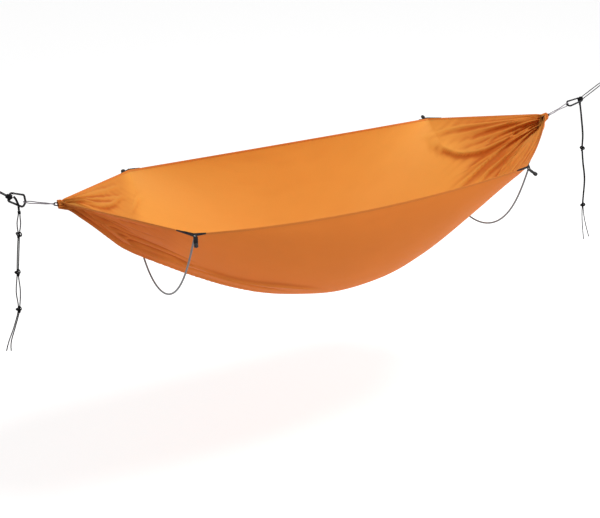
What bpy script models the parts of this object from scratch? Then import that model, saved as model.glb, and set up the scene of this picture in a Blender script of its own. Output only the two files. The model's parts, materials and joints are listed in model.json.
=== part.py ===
# Double hammock with two bowed spreader poles, hung between two anchor loops.
# Metres, +Z up, +X from the left anchor to the right one, -Y the front.
# Origin: the bearing point of the left anchor loop.

import math

import bmesh
import bpy
import numpy as np
from mathutils import Matrix, Vector

# Driving dimensions: the bed and its cloth
GATHER_SPAN = 2.450  # between the two gathered ends of the cloth
GATHER_RISE = 0.064  # of the gathered ends above the pole tips
KEEL_DEPTH = 0.587  # of the bed's lowest line below the pole tips, at the middle
KEEL_REACH = 1.195  # from the middle to where the keel line meets the height of the pole tips
KEEL_POWER = 1.72
FRONT_SAG = 0.050  # of the front hem between its two tabs
BACK_SAG = 0.002
SECTION_POWER_MIDDLE = 1.95  # 2 is an ellipse, 1 a V
SECTION_POWER_END = 1.15
CLOTH_THICKNESS = 0.0015
BUNCH_RADIUS = 0.0178  # middle of the pleats where the cloth is gathered
BUNCH_PLEAT = 0.0078
BUNCH_OPENING = math.radians(30)  # left open on top, between the two hems
BUNCH_START = 1.00
BUNCH_FULL = 1.178
SIDE_PLEAT = 0.013
KEEL_FOLD = 0.008
PLEAT_COUNT = 12
COLUMNS_BETWEEN_POLES = 5  # in one half
COLUMNS_TO_GATHER = 6

# Driving dimensions: the spreader poles
POLE_SPACING = 1.600
TIP_SPAN = 0.866  # between a pole's two tips
POLE_LENGTH = 1.270
POLE_TILT = {"left": 5.0, "right": 3.0}  # degrees outwards, as they hang
TUBE_DIAMETER = 0.0080
TUBE_WALL = 0.0006
SECTION_COUNT = 4
SECTION_STEPS = 7  # between the ferrules
SECTION_JOINT = 0.0007  # between the ends of two sections that butt
FERRULE_LENGTH = 0.050
FERRULE_WALL = 0.0007
SHOCK_CORD_DIAMETER = 0.0026
SHOCK_CORD_POINTS = 24
TIP_PIN_DIAMETER = 0.0030
TIP_PIN_ABOVE = 0.0070
TIP_CONE_START = 0.0026
TIP_CONE_END = 0.0045
TIP_FLANGE_END = 0.0085
TIP_PLUG_END = 0.0240

# Driving dimensions: the corner tabs, eyelets and pull straps
TAB_REACH = 0.0135  # from the hem to the eyelet's middle
TAB_THICKNESS = 0.0007
TAB_LEG = 0.052
TAB_LEG_STATION = 0.6  # share of a leg where it follows the hem once more
TAB_HEIGHT = 0.018
TAB_END_HEIGHT = 0.006
TONGUE_WIDTH = 0.020
TONGUE_NOSE = 0.0085  # from the eyelet's middle to the tongue's tip
TONGUE_TAPER = (0.95, 0.90, 0.72, 0.40)  # share of its width, from above the eyelet to the tip
EYELET_BORE = 0.0049
EYELET_BARREL = 0.0062
EYELET_FLANGE = 0.0112
EYELET_THICKNESS = 0.0020
EYELET_SIDES = 14
STRAP_WIDTH = 0.0150
STRAP_THICKNESS = 0.0014
TOGGLE_DIAMETER = 0.0135
TOGGLE_LENGTH = 0.0185
STRAP_LENGTH = {"front_left": 0.030, "front_right": 0.038, "back_left": 0.034, "back_right": 0.014}
STRAP_DROOP = {"front_left": 78.0, "front_right": 8.0, "back_left": 20.0, "back_right": -10.0}
STRAP_TURN = {"front_left": 0.0, "front_right": 0.0, "back_left": 15.0, "back_right": 0.0}

# Driving dimensions: the end loops, carabiners, ropes and tails
LINE_SLOPE = {"left": math.radians(15), "right": math.radians(18.5)}
LOOP_CORD = 0.0042
LOOP_REACH = {"left": 0.1335, "right": 0.1315}  # from the cloth's end to the wide bar
LOOP_CROSSING = 0.0003  # half the gap between the strands where they cross
LOOP_PLAY = 0.0011  # round the carabiner's slanted bar
LOOP_STEPS = 15
CHANNEL_CORD = 0.0045
CHANNEL_EYE = 0.021
CHANNEL_EYE_RADIUS = 0.0058
CHANNEL_DEPTH = 0.018
CHANNEL_TURN_RADIUS = 0.0061
CARABINER_BAR = 0.0080
CARABINER_STEEPER = {"left": math.radians(12), "right": math.radians(-4)}
CARABINER_SWING = {"left": math.radians(13), "right": math.radians(12.5)}  # towards the front
CARABINER_ROLL = {"left": math.radians(5.5), "right": math.radians(81)}
CARABINER_FILLET = 0.0095
# Corners of the bar's middle line: along the carabiner from its wide end, and across it
CARABINER_CORNERS = ((0.0145, 0.0265), (0.000, 0.000), (0.005, -0.0225), (0.076, -0.0115), (0.076, 0.0215))
GATE_BAR = 0.0072
GATE_NOSE = 0.0245
GATE_PIVOT = 0.0610
GATE_TAIL = 0.0034  # of the gate past its pin
GATE_GAP = 0.0006
HINGE_TONGUE = 0.0026
HINGE_REACH = 0.0058
HINGE_PIN = 0.0023
PLUNGER_DIAMETER = 0.0024
PLUNGER_LENGTH = 0.018
ROPE_DIAMETER = 0.0045
ROPE_SPREAD = {"left": 0.0048, "right": 0.0146}
ROPE_RISE = {"left": math.radians(37.5), "right": math.radians(25.3)}
ROPE_CLOSING = 0.65  # share of their way where the strands start to draw together
ROPE_STEPS = 12
ANCHOR_RISE = 0.205  # of the anchor knots above the pole tips
HITCH_RADIUS = 0.0135
ANCHOR_KNOT_RADIUS = 0.0095
ANCHOR_LOOP_LENGTH = 0.075
ANCHOR_LOOP_WIDTH = 0.030
ANCHOR_LOOP_SIDE = ((0.002, 0.0030), (0.016, 0.0080), (0.034, 0.0135))  # along and across, from the knot
LEAD_DIAMETER = 0.0070
# Along the left carabiner and across it: in front of the gate and over the spine bar
LEAD_ROUTE = ((0.0613, 0.0110), (0.0502, 0.0035), (0.0396, -0.0080), (0.0319, -0.0175), (0.0256, -0.0327))
LEAD_DROP = 0.006
TAIL_KNOT_RADIUS = 0.0100
TAIL_COLLAR_RADIUS = 0.0062
KNOT_STRETCH = 1.25  # a knot's length over its width
TAIL_STEP = 0.0135
# Across and up from the collar's middle, where the tail swings
TAIL_ROUTE = {
    "left": ((0, 0), (-0.0063, -0.0400), (-0.0136, -0.0955), (-0.0270, -0.1767), (-0.0396, -0.2569),
             (-0.0484, -0.3392), (-0.0564, -0.4224), (-0.0816, -0.4940), (-0.1110, -0.5624),
             (-0.1214, -0.6027)),
    "right": ((0, 0), (0.0174, -0.0686), (0.0374, -0.1666), (0.0408, -0.2421), (0.0535, -0.3200),
              (0.0763, -0.4230), (0.0825, -0.5642), (0.0972, -0.6584), (0.1242, -0.7595)),
}
TAIL_KNOTS = {"left": (0.097, 0.261, 0.427), "right": (0.247, 0.573)}  # along the route
TAIL_BULGE = {"left": (0.0045, 0.0003, 0.0057, 0.0070), "right": (0.0003, 0.0003, 0.0150)}
TAIL_PARTING = {"left": 4.0, "right": 1.2}  # how late the two free ends part
TAIL_WAVE = 0.002  # fore and aft
TAIL_WAVE_PERIOD = 0.45

# Clearances
TOUCH = 0.0003  # between pieces that rest on each other
RUN = 0.0003  # round a pin in its bore

HALF_SPACING = POLE_SPACING / 2
HALF_TIPS = TIP_SPAN / 2
HALF_GATHER = GATHER_SPAN / 2
SIDES = {"left": -1, "right": 1}
ROWS = {"front": -1, "back": 1}


def smooth_share(value, low, high):
    t = min(max((value - low) / (high - low), 0.0), 1.0)
    return t * t * (3 - 2 * t)


# Materials

def make_material(name, colour, roughness, metallic=0.0):
    material = bpy.data.materials.new(name)
    material.use_nodes = True
    shader = material.node_tree.nodes["Principled BSDF"]
    shader.inputs["Base Color"].default_value = (*colour, 1.0)
    shader.inputs["Roughness"].default_value = roughness
    shader.inputs["Metallic"].default_value = metallic
    return material


for old in list(bpy.data.objects):
    bpy.data.objects.remove(old, do_unlink=True)

CLOTH = make_material("orange nylon cloth", (0.78, 0.27, 0.05), 0.6)
WEBBING = make_material("black webbing", (0.012, 0.012, 0.013), 0.8)
BLACK_CORD = make_material("black cord", (0.014, 0.014, 0.016), 0.75)
GREY_CORD = make_material("pale grey cord", (0.55, 0.54, 0.55), 0.7)
INNER_CORD = make_material("white elastic cord", (0.7, 0.7, 0.68), 0.75)
BLACK_METAL = make_material("black anodised aluminium", (0.015, 0.015, 0.017), 0.35, 0.6)
POLE_METAL = make_material("dark grey aluminium", (0.075, 0.078, 0.082), 0.38, 0.8)
BARE_METAL = make_material("bare aluminium", (0.62, 0.63, 0.65), 0.3, 1.0)
BLACK_PLASTIC = make_material("black moulded plastic", (0.018, 0.018, 0.02), 0.5)


# Placing and joining

def make_empty(name, parent, matrix):
    empty = bpy.data.objects.new(name, None)
    bpy.context.scene.collection.objects.link(empty)
    empty.parent = parent
    empty.matrix_basis = matrix
    return empty


def place(name, data, material, parent, matrix=None):
    thing = bpy.data.objects.new(name, data)
    bpy.context.scene.collection.objects.link(thing)
    thing.parent = parent
    thing.matrix_basis = matrix or Matrix.Identity(4)
    if material:
        data.materials.append(material)
    return thing


def frame_at(origin, along, across):
    # Local X runs along, local Z as near to across as a right angle allows
    x = Vector(along).normalized()
    z = (Vector(across) - x * x.dot(Vector(across))).normalized()
    y = z.cross(x)
    return Matrix.Translation(origin) @ Matrix((x, y, z)).transposed().to_4x4()


def mesh_from(build, smooth=True):
    bm = bmesh.new()
    build(bm)
    bmesh.ops.recalc_face_normals(bm, faces=bm.faces[:])
    mesh = bpy.data.meshes.new("shape")
    bm.to_mesh(mesh)
    bm.free()
    if smooth:
        mesh.shade_smooth()
        mesh.set_sharp_from_angle(angle=math.radians(40))
    return mesh


def curve_data(points, diameter, resolution=2, closed=False, capped=True):
    curve = bpy.data.curves.new("route", "CURVE")
    curve.dimensions = "3D"
    curve.bevel_depth = diameter / 2
    curve.bevel_resolution = resolution
    curve.use_fill_caps = capped and not closed
    curve.twist_mode = "MINIMUM"
    spline = curve.splines.new("POLY")
    spline.points.add(len(points) - 1)
    for slot, point in zip(spline.points, points):
        slot.co = (*point, 1.0)
    spline.use_cyclic_u = closed
    spline.use_smooth = True
    return curve


def tube_mesh(points, diameter, resolution=2, closed=False, capped=True):
    source = place("guide", curve_data(points, diameter, resolution, closed, capped), None, None)
    mesh = bpy.data.meshes.new_from_object(source)
    bpy.data.objects.remove(source, do_unlink=True)

    def welded(bm):
        bm.from_mesh(mesh)
        bmesh.ops.remove_doubles(bm, verts=bm.verts[:], dist=1e-6)

    return mesh_from(welded)


def cord(name, points, diameter, material, parent, closed=False, matrix=None):
    return place(name, curve_data(points, diameter, 2, closed), material, parent, matrix)


def combine(target, cutter, operation):
    modifier = target.modifiers.new(operation.lower(), "BOOLEAN")
    modifier.object = cutter
    modifier.operation = operation
    cutter.hide_render = True
    cutter.display_type = "WIRE"


def solidify(target, thickness, offset=0.0):
    modifier = target.modifiers.new("wall", "SOLIDIFY")
    modifier.thickness = thickness
    modifier.offset = offset


def smooth_route(points, step, closed=False):
    # A curve through the given points, read off at an even step
    knots = [np.array(p, dtype=float) for p in points]
    if closed:
        knots = [knots[-1]] + knots + [knots[0], knots[1]]
    else:
        knots = [2 * knots[0] - knots[1]] + knots + [2 * knots[-1] - knots[-2]]
    fine = []
    for a, b, c, d in zip(knots, knots[1:], knots[2:], knots[3:]):
        for t in np.linspace(0, 1, 24, endpoint=False):
            fine.append(0.5 * (2 * b + (c - a) * t + (2 * a - 5 * b + 4 * c - d) * t**2
                               + (3 * b - a - 3 * c + d) * t**3))
    fine.append(knots[-2])
    fine = np.array(fine)
    lengths = np.concatenate([[0], np.cumsum(np.linalg.norm(np.diff(fine, axis=0), axis=1))])
    count = max(2, round(lengths[-1] / step))
    at = np.linspace(0, lengths[-1], count + 1)
    even = np.stack([np.interp(at, lengths, fine[:, k]) for k in range(3)], axis=1)
    return [tuple(p) for p in (even[:-1] if closed else even)]


def arc_points(centre, radius, start, end, steps):
    # In the XZ plane unless turned by the caller
    angles = np.radians(np.linspace(start, end, steps + 1))
    return [(centre[0] + radius * math.cos(a), centre[1], centre[2] + radius * math.sin(a)) for a in angles]


# The bowed pole: a rod whose bend fades from its middle to nothing at its tips

def bow_shape(tip_slope, steps=240):
    t = np.linspace(-0.5, 0.5, steps + 1)
    slope = tip_slope * np.sin(np.pi * t)
    run = np.concatenate([[0], np.cumsum((np.cos(slope[1:]) + np.cos(slope[:-1])) / 2)]) / steps
    drop = np.concatenate([[0], np.cumsum((np.sin(slope[1:]) + np.sin(slope[:-1])) / 2)]) / steps
    return run, drop


def bow_tip_slope():
    low, high = 0.1, 2.2
    for _ in range(50):
        middle = (low + high) / 2
        if bow_shape(middle)[0][-1] * POLE_LENGTH > TIP_SPAN:
            low = middle
        else:
            high = middle
    return low


TIP_SLOPE = bow_tip_slope()
BOW_RUN, BOW_DROP = (POLE_LENGTH * part for part in bow_shape(TIP_SLOPE))


def bow_point(distance):
    # In the pole's own frame: Y from the front tip to the back one, Z up
    at = np.linspace(0, POLE_LENGTH, len(BOW_RUN))
    y = np.interp(distance, at, BOW_RUN) - HALF_TIPS
    z = np.interp(distance, at, BOW_DROP)
    return (0.0, float(y), float(z))


def bow_route(start, end, steps):
    return [bow_point(start + (end - start) * i / steps) for i in range(steps + 1)]


# The cloth

def rim_point(x, row):
    # The hem's edge: straight to each gathered end, sagging between the poles
    reach = abs(x)
    inward = TAB_REACH * math.sin(TIP_SLOPE)
    rise = TAB_REACH * math.cos(TIP_SLOPE)
    sag = FRONT_SAG if row == "front" else BACK_SAG
    if reach <= HALF_SPACING:
        y = HALF_TIPS - inward
        z = rise - sag * (1 - (reach / HALF_SPACING) ** 2)
    else:
        share = (reach - HALF_SPACING) / (HALF_GATHER - HALF_SPACING)
        y = (HALF_TIPS - inward) * (1 - share)
        z = rise * (1 - share) + (GATHER_RISE + BUNCH_RADIUS) * share
    return ROWS[row] * y, z


def cloth_section(x, shares):
    # Points across the bed at x, from the front hem (0) to the back one (1), before its pleats
    reach = abs(x)
    front_y, front_z = rim_point(x, "front")
    back_y, back_z = rim_point(x, "back")
    keel = -KEEL_DEPTH * (1 - (reach / KEEL_REACH) ** KEEL_POWER)
    power = SECTION_POWER_MIDDLE + (SECTION_POWER_END - SECTION_POWER_MIDDLE) * min(
        1.0, (reach / HALF_SPACING) ** 2)
    turn = np.linspace(0, np.pi, 181)
    across = -np.sign(np.cos(turn)) * np.abs(np.cos(turn)) ** (2 / power)
    down = np.abs(np.sin(turn)) ** (2 / power)
    y = across * back_y
    edge = front_z + (back_z - front_z) * (across + 1) / 2
    z = edge * (1 - down) + keel * down
    lengths = np.concatenate([[0], np.cumsum(np.hypot(np.diff(y), np.diff(z)))])
    at = np.asarray(shares) * lengths[-1]
    open_y, open_z = np.interp(at, lengths, y), np.interp(at, lengths, z)
    angle = (np.asarray(shares) - 0.5) * (2 * np.pi - BUNCH_OPENING)
    middle = GATHER_RISE - (HALF_GATHER - reach) * math.tan(LINE_SLOPE["left" if x < 0 else "right"])
    round_y = BUNCH_RADIUS * np.sin(angle)
    round_z = middle - BUNCH_RADIUS * np.cos(angle)
    gathered = smooth_share(reach, BUNCH_START, BUNCH_FULL)
    return (1 - gathered) * open_y + gathered * round_y, (1 - gathered) * open_z + gathered * round_z


def pleat_height(x, share):
    reach = abs(x)
    side = SIDE_PLEAT * smooth_share(reach, HALF_SPACING, BUNCH_START)
    gathered = smooth_share(reach, BUNCH_START, BUNCH_FULL)
    keel = KEEL_FOLD * smooth_share(reach, 0.1, 0.6) * math.exp(-(((share - 0.5) / 0.12) ** 2))
    hem = min(1.0, 6 * min(share, 1 - share) + gathered)
    return ((1 - gathered) * (side + keel) + gathered * BUNCH_PLEAT) * hem


def cloth_points(x):
    shares = np.linspace(0, 1, 2 * PLEAT_COUNT + 1)
    y, z = cloth_section(x, shares)
    tangent_y, tangent_z = np.gradient(y), np.gradient(z)
    size = np.hypot(tangent_y, tangent_z)
    heights = np.array([pleat_height(x, s) for s in shares]) * np.where(np.arange(len(shares)) % 2, 1, -1)
    y = y - heights * tangent_z / size
    z = z + heights * tangent_y / size
    return [Vector((x, y[i], z[i])) for i in range(len(shares))]


def cloth_columns():
    half = [HALF_SPACING * i / COLUMNS_BETWEEN_POLES for i in range(COLUMNS_BETWEEN_POLES + 1)]
    for j in range(1, COLUMNS_TO_GATHER + 1):
        share = 1 - (1 - j / COLUMNS_TO_GATHER) ** 1.3
        half.append(HALF_SPACING + (HALF_GATHER - HALF_SPACING) * share)
    return [-x for x in reversed(half[1:])] + half


def build_bed(parent):
    def sheet(bm):
        rows = [[bm.verts.new(p) for p in cloth_points(x)] for x in cloth_columns()]
        for near, far in zip(rows, rows[1:]):
            for i in range(len(near) - 1):
                bm.faces.new((near[i], far[i], far[i + 1], near[i + 1]))

    solidify(place("bed_fabric", mesh_from(sheet), CLOTH, parent), CLOTH_THICKNESS)


# The poles

def build_pole(side, hammock):
    sign = SIDES[side]
    turn = Matrix.Rotation(-sign * math.radians(POLE_TILT[side]), 4, "Y")
    pole = make_empty(f"{side}_pole_axis", hammock, Matrix.Translation((sign * HALF_SPACING, 0, 0)) @ turn)
    length = (POLE_LENGTH - 2 * TIP_FLANGE_END) / SECTION_COUNT
    joints = [TIP_FLANGE_END + i * length for i in range(SECTION_COUNT + 1)]
    bore = TUBE_DIAMETER - 2 * TUBE_WALL
    ferrule = bore - 2 * TOUCH
    for i in range(SECTION_COUNT):
        start, end = joints[i] + SECTION_JOINT / 2, joints[i + 1] - SECTION_JOINT / 2
        inside = (joints[i] + FERRULE_LENGTH / 2, joints[i + 1] - FERRULE_LENGTH / 2)
        route = [bow_point(start)] + bow_route(*inside, SECTION_STEPS) + [bow_point(end)]
        tube = place(f"{side}_pole_section_{i + 1}", tube_mesh(route, TUBE_DIAMETER, capped=False),
                     POLE_METAL, pole)
        solidify(tube, TUBE_WALL, -1.0)
    for i in range(1, SECTION_COUNT):
        route = bow_route(joints[i] - FERRULE_LENGTH / 2, joints[i] + FERRULE_LENGTH / 2, 2)
        sleeve = place(f"{side}_pole_ferrule_{i}", tube_mesh(route, ferrule, capped=False), BARE_METAL, pole)
        solidify(sleeve, FERRULE_WALL, -1.0)
    shock_route = bow_route(TIP_PLUG_END + TOUCH, POLE_LENGTH - TIP_PLUG_END - TOUCH, SHOCK_CORD_POINTS)
    cord(f"{side}_pole_shock_cord", shock_route, SHOCK_CORD_DIAMETER, INNER_CORD, pole)
    for row in ROWS:
        build_tip(f"{row}_{side}_pole_tip", row, pole, ferrule)


def tip_direction(row):
    return Vector((0, ROWS[row] * math.cos(TIP_SLOPE), math.sin(TIP_SLOPE)))


def turned(profile, steps):
    # A profile of (radius, height) turned round Z, with a flat cap at each end
    def build(bm):
        rings = []
        for radius, height in profile:
            made = len(bm.edges)
            bmesh.ops.create_circle(bm, radius=radius, segments=steps,
                                    matrix=Matrix.Translation((0, 0, height)))
            rings.append(bm.edges[made:])
        for low, high in zip(rings, rings[1:]):
            bmesh.ops.bridge_loops(bm, edges=low + high)
        bmesh.ops.contextual_create(bm, geom=rings[0])
        bmesh.ops.contextual_create(bm, geom=rings[-1])

    return build


def build_tip(name, row, pole, plug_diameter):
    radius = TUBE_DIAMETER / 2
    pin = TIP_PIN_DIAMETER / 2
    profile = [(pin * 0.6, TIP_PIN_ABOVE), (pin, TIP_PIN_ABOVE - pin * 0.5), (pin, -TIP_CONE_START),
               (radius, -TIP_CONE_END), (radius, -TIP_FLANGE_END + TOUCH),
               (plug_diameter / 2, -TIP_FLANGE_END + TOUCH), (plug_diameter / 2, -TIP_PLUG_END)]
    turn = tip_direction(row).to_track_quat("Z", "Y").to_matrix().to_4x4()
    matrix = Matrix.Translation((0, ROWS[row] * HALF_TIPS, 0)) @ turn
    place(name, mesh_from(turned(profile, 12)), BLACK_PLASTIC, pole, matrix)


# The corner tabs

def build_corner(row, side, hammock):
    sign, face = SIDES[side], ROWS[row]
    name = f"{row}_{side}"
    pivot = Vector((sign * HALF_SPACING, face * HALF_TIPS, 0))
    up = tip_direction(row)
    out = Vector((0, face * math.sin(TIP_SLOPE), -math.cos(TIP_SLOPE)))
    clear = CLOTH_THICKNESS / 2 + TOUCH + TAB_THICKNESS / 2

    hem_turn = math.atan2(HALF_TIPS, HALF_GATHER - HALF_SPACING)
    half = TONGUE_WIDTH / 2

    def leg_column(offset):
        # The hem's own line, moved clear of the cloth; its corner is mitred
        x = sign * (HALF_SPACING + offset * TAB_LEG)
        y, z = rim_point(x, row)
        height = TAB_HEIGHT + (TAB_END_HEIGHT - TAB_HEIGHT) * abs(offset)
        turn = hem_turn * (1.0 if offset > 0 else 0.5 if offset == 0 else 0.0)
        step = clear / math.cos(turn / 2 if offset == 0 else 0.0)
        top = Vector((x, y, z)) + Vector((sign * math.sin(turn), face * math.cos(turn), 0)) * step
        return top, top - Vector((0, 0, height))

    offsets = (-1.0, -TAB_LEG_STATION, -half / TAB_LEG, 0.0, half / TAB_LEG, TAB_LEG_STATION, 1.0)
    reaches = (-EYELET_FLANGE / 2, 0.0, TONGUE_NOSE * TAB_LEG_STATION, TONGUE_NOSE)

    def shape(bm):
        tops, bottoms = [], []
        for offset in offsets:
            top, bottom = leg_column(offset)
            tops.append(bm.verts.new(top))
            bottoms.append(bm.verts.new(bottom))
        for i in range(len(offsets) - 1):
            bm.faces.new((bottoms[i], bottoms[i + 1], tops[i + 1], tops[i]))
        row_before = tops[2:5]
        for reach, taper in zip(reaches, TONGUE_TAPER):
            row_after = [bm.verts.new(pivot + out * reach + Vector((sign * half * taper * k, 0, 0)))
                         for k in (-1, 0, 1)]
            for i in range(2):
                bm.faces.new((row_before[i], row_before[i + 1], row_after[i + 1], row_after[i]))
            row_before = row_after

    tab = place(f"{name}_tab", mesh_from(shape), WEBBING, hammock)
    solidify(tab, TAB_THICKNESS)
    seat = Matrix.Translation(pivot) @ up.to_track_quat("Z", "Y").to_matrix().to_4x4()

    def drill(bm):
        bmesh.ops.create_cone(bm, cap_ends=True, segments=EYELET_SIDES, radius1=EYELET_BARREL / 2 + 2 * RUN,
                              radius2=EYELET_BARREL / 2 + 2 * RUN, depth=EYELET_FLANGE)

    hole = place(f"{name}_eyelet_hole", mesh_from(drill), None, hammock, seat)
    combine(tab, hole, "DIFFERENCE")

    bore, barrel, flange = EYELET_BORE / 2, EYELET_BARREL / 2, EYELET_FLANGE / 2
    outer = EYELET_THICKNESS / 2
    inner = TAB_THICKNESS / 2 + TOUCH

    def ring(bm):
        loop = [bm.verts.new((r, 0, z)) for r, z in (
            (bore, -outer), (flange, -outer), (flange, -inner), (barrel, -inner),
            (barrel, inner), (flange, inner), (flange, outer), (bore, outer))]
        edges = [bm.edges.new((loop[i], loop[(i + 1) % len(loop)])) for i in range(len(loop))]
        bmesh.ops.spin(bm, geom=loop + edges, cent=(0, 0, 0), axis=(0, 0, 1), angle=math.tau,
                       steps=EYELET_SIDES, use_merge=True)
        bmesh.ops.remove_doubles(bm, verts=bm.verts[:], dist=1e-6)

    place(f"{name}_eyelet", mesh_from(ring), BARE_METAL, hammock, seat)
    build_pull(name, pivot, out, up, face, hammock)


def build_pull(name, pivot, out, up, face, hammock):
    # A short strap under the tab's nose, with a moulded toggle on its end
    turn = math.radians(STRAP_TURN[name]) * face
    droop = math.radians(STRAP_DROOP[name])
    start = pivot + out * (TONGUE_NOSE + TOUCH)
    heading = Matrix.Rotation(turn, 3, "Z") @ Vector((0, face, 0))
    along = heading * math.cos(droop) + Vector((0, 0, -math.sin(droop)))
    strap_frame = frame_at(start, along, up)
    length = STRAP_LENGTH[name]
    bend = abs(math.sin(droop - math.pi / 2 + TIP_SLOPE))
    setback = (bend * STRAP_THICKNESS / 2
               + abs(math.sin(turn)) * TONGUE_WIDTH / 2 * TONGUE_TAPER[-1] + TOUCH)

    def strip(bm):
        made = bmesh.ops.create_cube(bm, size=1.0)["verts"]
        bmesh.ops.scale(bm, vec=(length, STRAP_WIDTH, STRAP_THICKNESS), verts=made)
        bmesh.ops.translate(bm, vec=(length / 2 + setback, 0, 0), verts=made)
        long_edges = [e for e in bm.edges if abs((e.verts[0].co - e.verts[1].co).x) > length / 2]
        bmesh.ops.bevel(bm, geom=long_edges, offset=STRAP_THICKNESS * 0.3, offset_type="OFFSET", segments=1,
                        profile=0.5, affect="EDGES", material=-1)

    place(f"{name}_pull_strap", mesh_from(strip, smooth=False), WEBBING, hammock, strap_frame)
    radius = TOGGLE_DIAMETER / 2
    end = length + setback + TOUCH
    profile = [(radius * 0.55, 0.0), (radius, radius * 0.45), (radius, TOGGLE_LENGTH - radius * 0.5),
               (radius * 0.6, TOGGLE_LENGTH)]
    toggle_frame = strap_frame @ Matrix.Translation((end, 0, 0)) @ Matrix.Rotation(math.pi / 2, 4, "Y")
    place(f"{name}_toggle", mesh_from(turned(profile, 10)), BLACK_PLASTIC, hammock, toggle_frame)


# The carabiner

def rounded_path(corners, fillet, start, end):
    # From start, round each corner, to end, with a circular fillet at each corner
    points = [Vector(start)]
    chain = [Vector(start)] + [Vector(c) for c in corners] + [Vector(end)]
    for before, corner, after in zip(chain, chain[1:], chain[2:]):
        back, ahead = (before - corner).normalized(), (after - corner).normalized()
        half = back.angle(ahead) / 2
        cut = fillet / math.tan(half)
        centre = corner + (back + ahead).normalized() * fillet / math.sin(half)
        first, last = corner + back * cut - centre, corner + ahead * cut - centre
        sweep = first.angle(last)
        steps = max(3, math.ceil(math.degrees(sweep) / 20))
        for i in range(steps + 1):
            share = i / steps
            arm = (first * math.sin((1 - share) * sweep) + last * math.sin(share * sweep)) / math.sin(sweep)
            points.append(centre + arm)
    points.append(Vector(end))
    return points


def carabiner_frame(side):
    # Origin in the middle of the wide bar, X towards the narrow end, Z across
    sign, line = SIDES[side], LINE_SLOPE[side]
    gather = Vector((sign * HALF_GATHER, 0, GATHER_RISE))
    origin = gather + Vector((sign * math.cos(line), 0, math.sin(line))) * LOOP_REACH[side]
    slope, swing = line + CARABINER_STEEPER[side], CARABINER_SWING[side]
    level = math.cos(slope)
    along = Vector((sign * level * math.cos(swing), -level * math.sin(swing), math.sin(slope)))
    roll = Matrix.Rotation(-CARABINER_ROLL[side], 3, along * sign)
    return frame_at(origin, along, roll @ Vector((0, 0, 1)))


def gate_line():
    low, high = (Vector((c[0], 0, c[1])) for c in (CARABINER_CORNERS[0], CARABINER_CORNERS[4]))
    direction = (high - low).normalized()

    def at(x):
        return low + direction * ((x - low.x) / direction.x)

    return at, direction


def bar_route(end):
    at, _ = gate_line()
    return rounded_path([(x, 0, z) for x, z in CARABINER_CORNERS], CARABINER_FILLET, at(GATE_NOSE), end)


def wide_bar_offset():
    # Where the rounded wide bar crosses the carabiner's own X axis
    route = bar_route(gate_line()[0](GATE_PIVOT))
    crossing = [a + (b - a) * (a.z / (a.z - b.z)) for a, b in zip(route, route[1:]) if a.z > 0 >= b.z]
    return crossing[0].x


WIDE_BAR_OFFSET = wide_bar_offset()


def block(size, offset):
    def build(bm):
        made = bmesh.ops.create_cube(bm, size=1.0)["verts"]
        bmesh.ops.scale(bm, vec=size, verts=made)
        bmesh.ops.translate(bm, vec=offset, verts=made)
    return build


def rod(diameter, length):
    def build(bm):
        bmesh.ops.create_cone(bm, cap_ends=True, segments=12, radius1=diameter / 2, radius2=diameter / 2,
                              depth=length)
    return build


def build_carabiner(side, hammock):
    holder = make_empty(f"{side}_carabiner_frame", hammock, carabiner_frame(side))
    at, direction = gate_line()
    nose, pivot = at(GATE_NOSE), at(GATE_PIVOT)
    hinge_frame = frame_at(pivot, direction, (0, 1, 0))
    route = bar_route(pivot - direction * HINGE_REACH / 2)
    body = place(f"{side}_carabiner_body", tube_mesh(route, CARABINER_BAR), BLACK_METAL, holder)
    cheek_size = (2 * HINGE_REACH, 2 * CARABINER_BAR, CARABINER_BAR)
    for name, face in (("front", -1), ("back", 1)):
        cheek = mesh_from(block(cheek_size, (0, 0, face * (HINGE_TONGUE + CARABINER_BAR) / 2)))
        cutter = place(f"{side}_{name}_cheek_cut", cheek, None, holder, hinge_frame)
        combine(body, cutter, "DIFFERENCE")
    bore = rod(HINGE_PIN + 2 * RUN, 2 * CARABINER_BAR)
    combine(body, place(f"{side}_pin_hole", mesh_from(bore), None, holder, hinge_frame), "DIFFERENCE")
    pin = rod(HINGE_PIN, GATE_BAR - 2 * TOUCH)
    place(f"{side}_gate_pin", mesh_from(pin), BARE_METAL, holder, hinge_frame)
    gate_axis = make_empty(f"{side}_gate_axis", holder, hinge_frame)
    build_gate(side, gate_axis, (pivot - nose).length - GATE_GAP, bore)
    return holder, route


def build_gate(side, axis, length, bore):
    # Its nose at -X, forked round the body's tongue, with a well for the plunger
    middle = -length / 2
    route = [(-length, 0, 0), (middle, 0, 0), (GATE_TAIL, 0, 0)]
    gate = place(f"{side}_gate", tube_mesh(route, GATE_BAR, resolution=3), BLACK_METAL, axis)
    slot_length = 4 * HINGE_REACH
    slot = block((slot_length, 2 * GATE_BAR, HINGE_TONGUE + 2 * TOUCH),
                 (slot_length / 2 - HINGE_REACH - GATE_GAP, 0, 0))
    well_end = -HINGE_REACH - PLUNGER_LENGTH
    well = tube_mesh([(well_end - TOUCH, 0, 0), (-HINGE_REACH, 0, 0)], PLUNGER_DIAMETER + 2 * RUN)
    for name, mesh in (("slot_cut", mesh_from(slot)), ("gate_hole", mesh_from(bore)), ("well_cut", well)):
        combine(gate, place(f"{side}_{name}", mesh, None, axis), "DIFFERENCE")
    plunger = tube_mesh([(well_end, 0, 0), (-HINGE_REACH - 2 * GATE_GAP, 0, 0)], PLUNGER_DIAMETER)
    place(f"{side}_gate_plunger", plunger, BARE_METAL, axis)


# Cords

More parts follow.
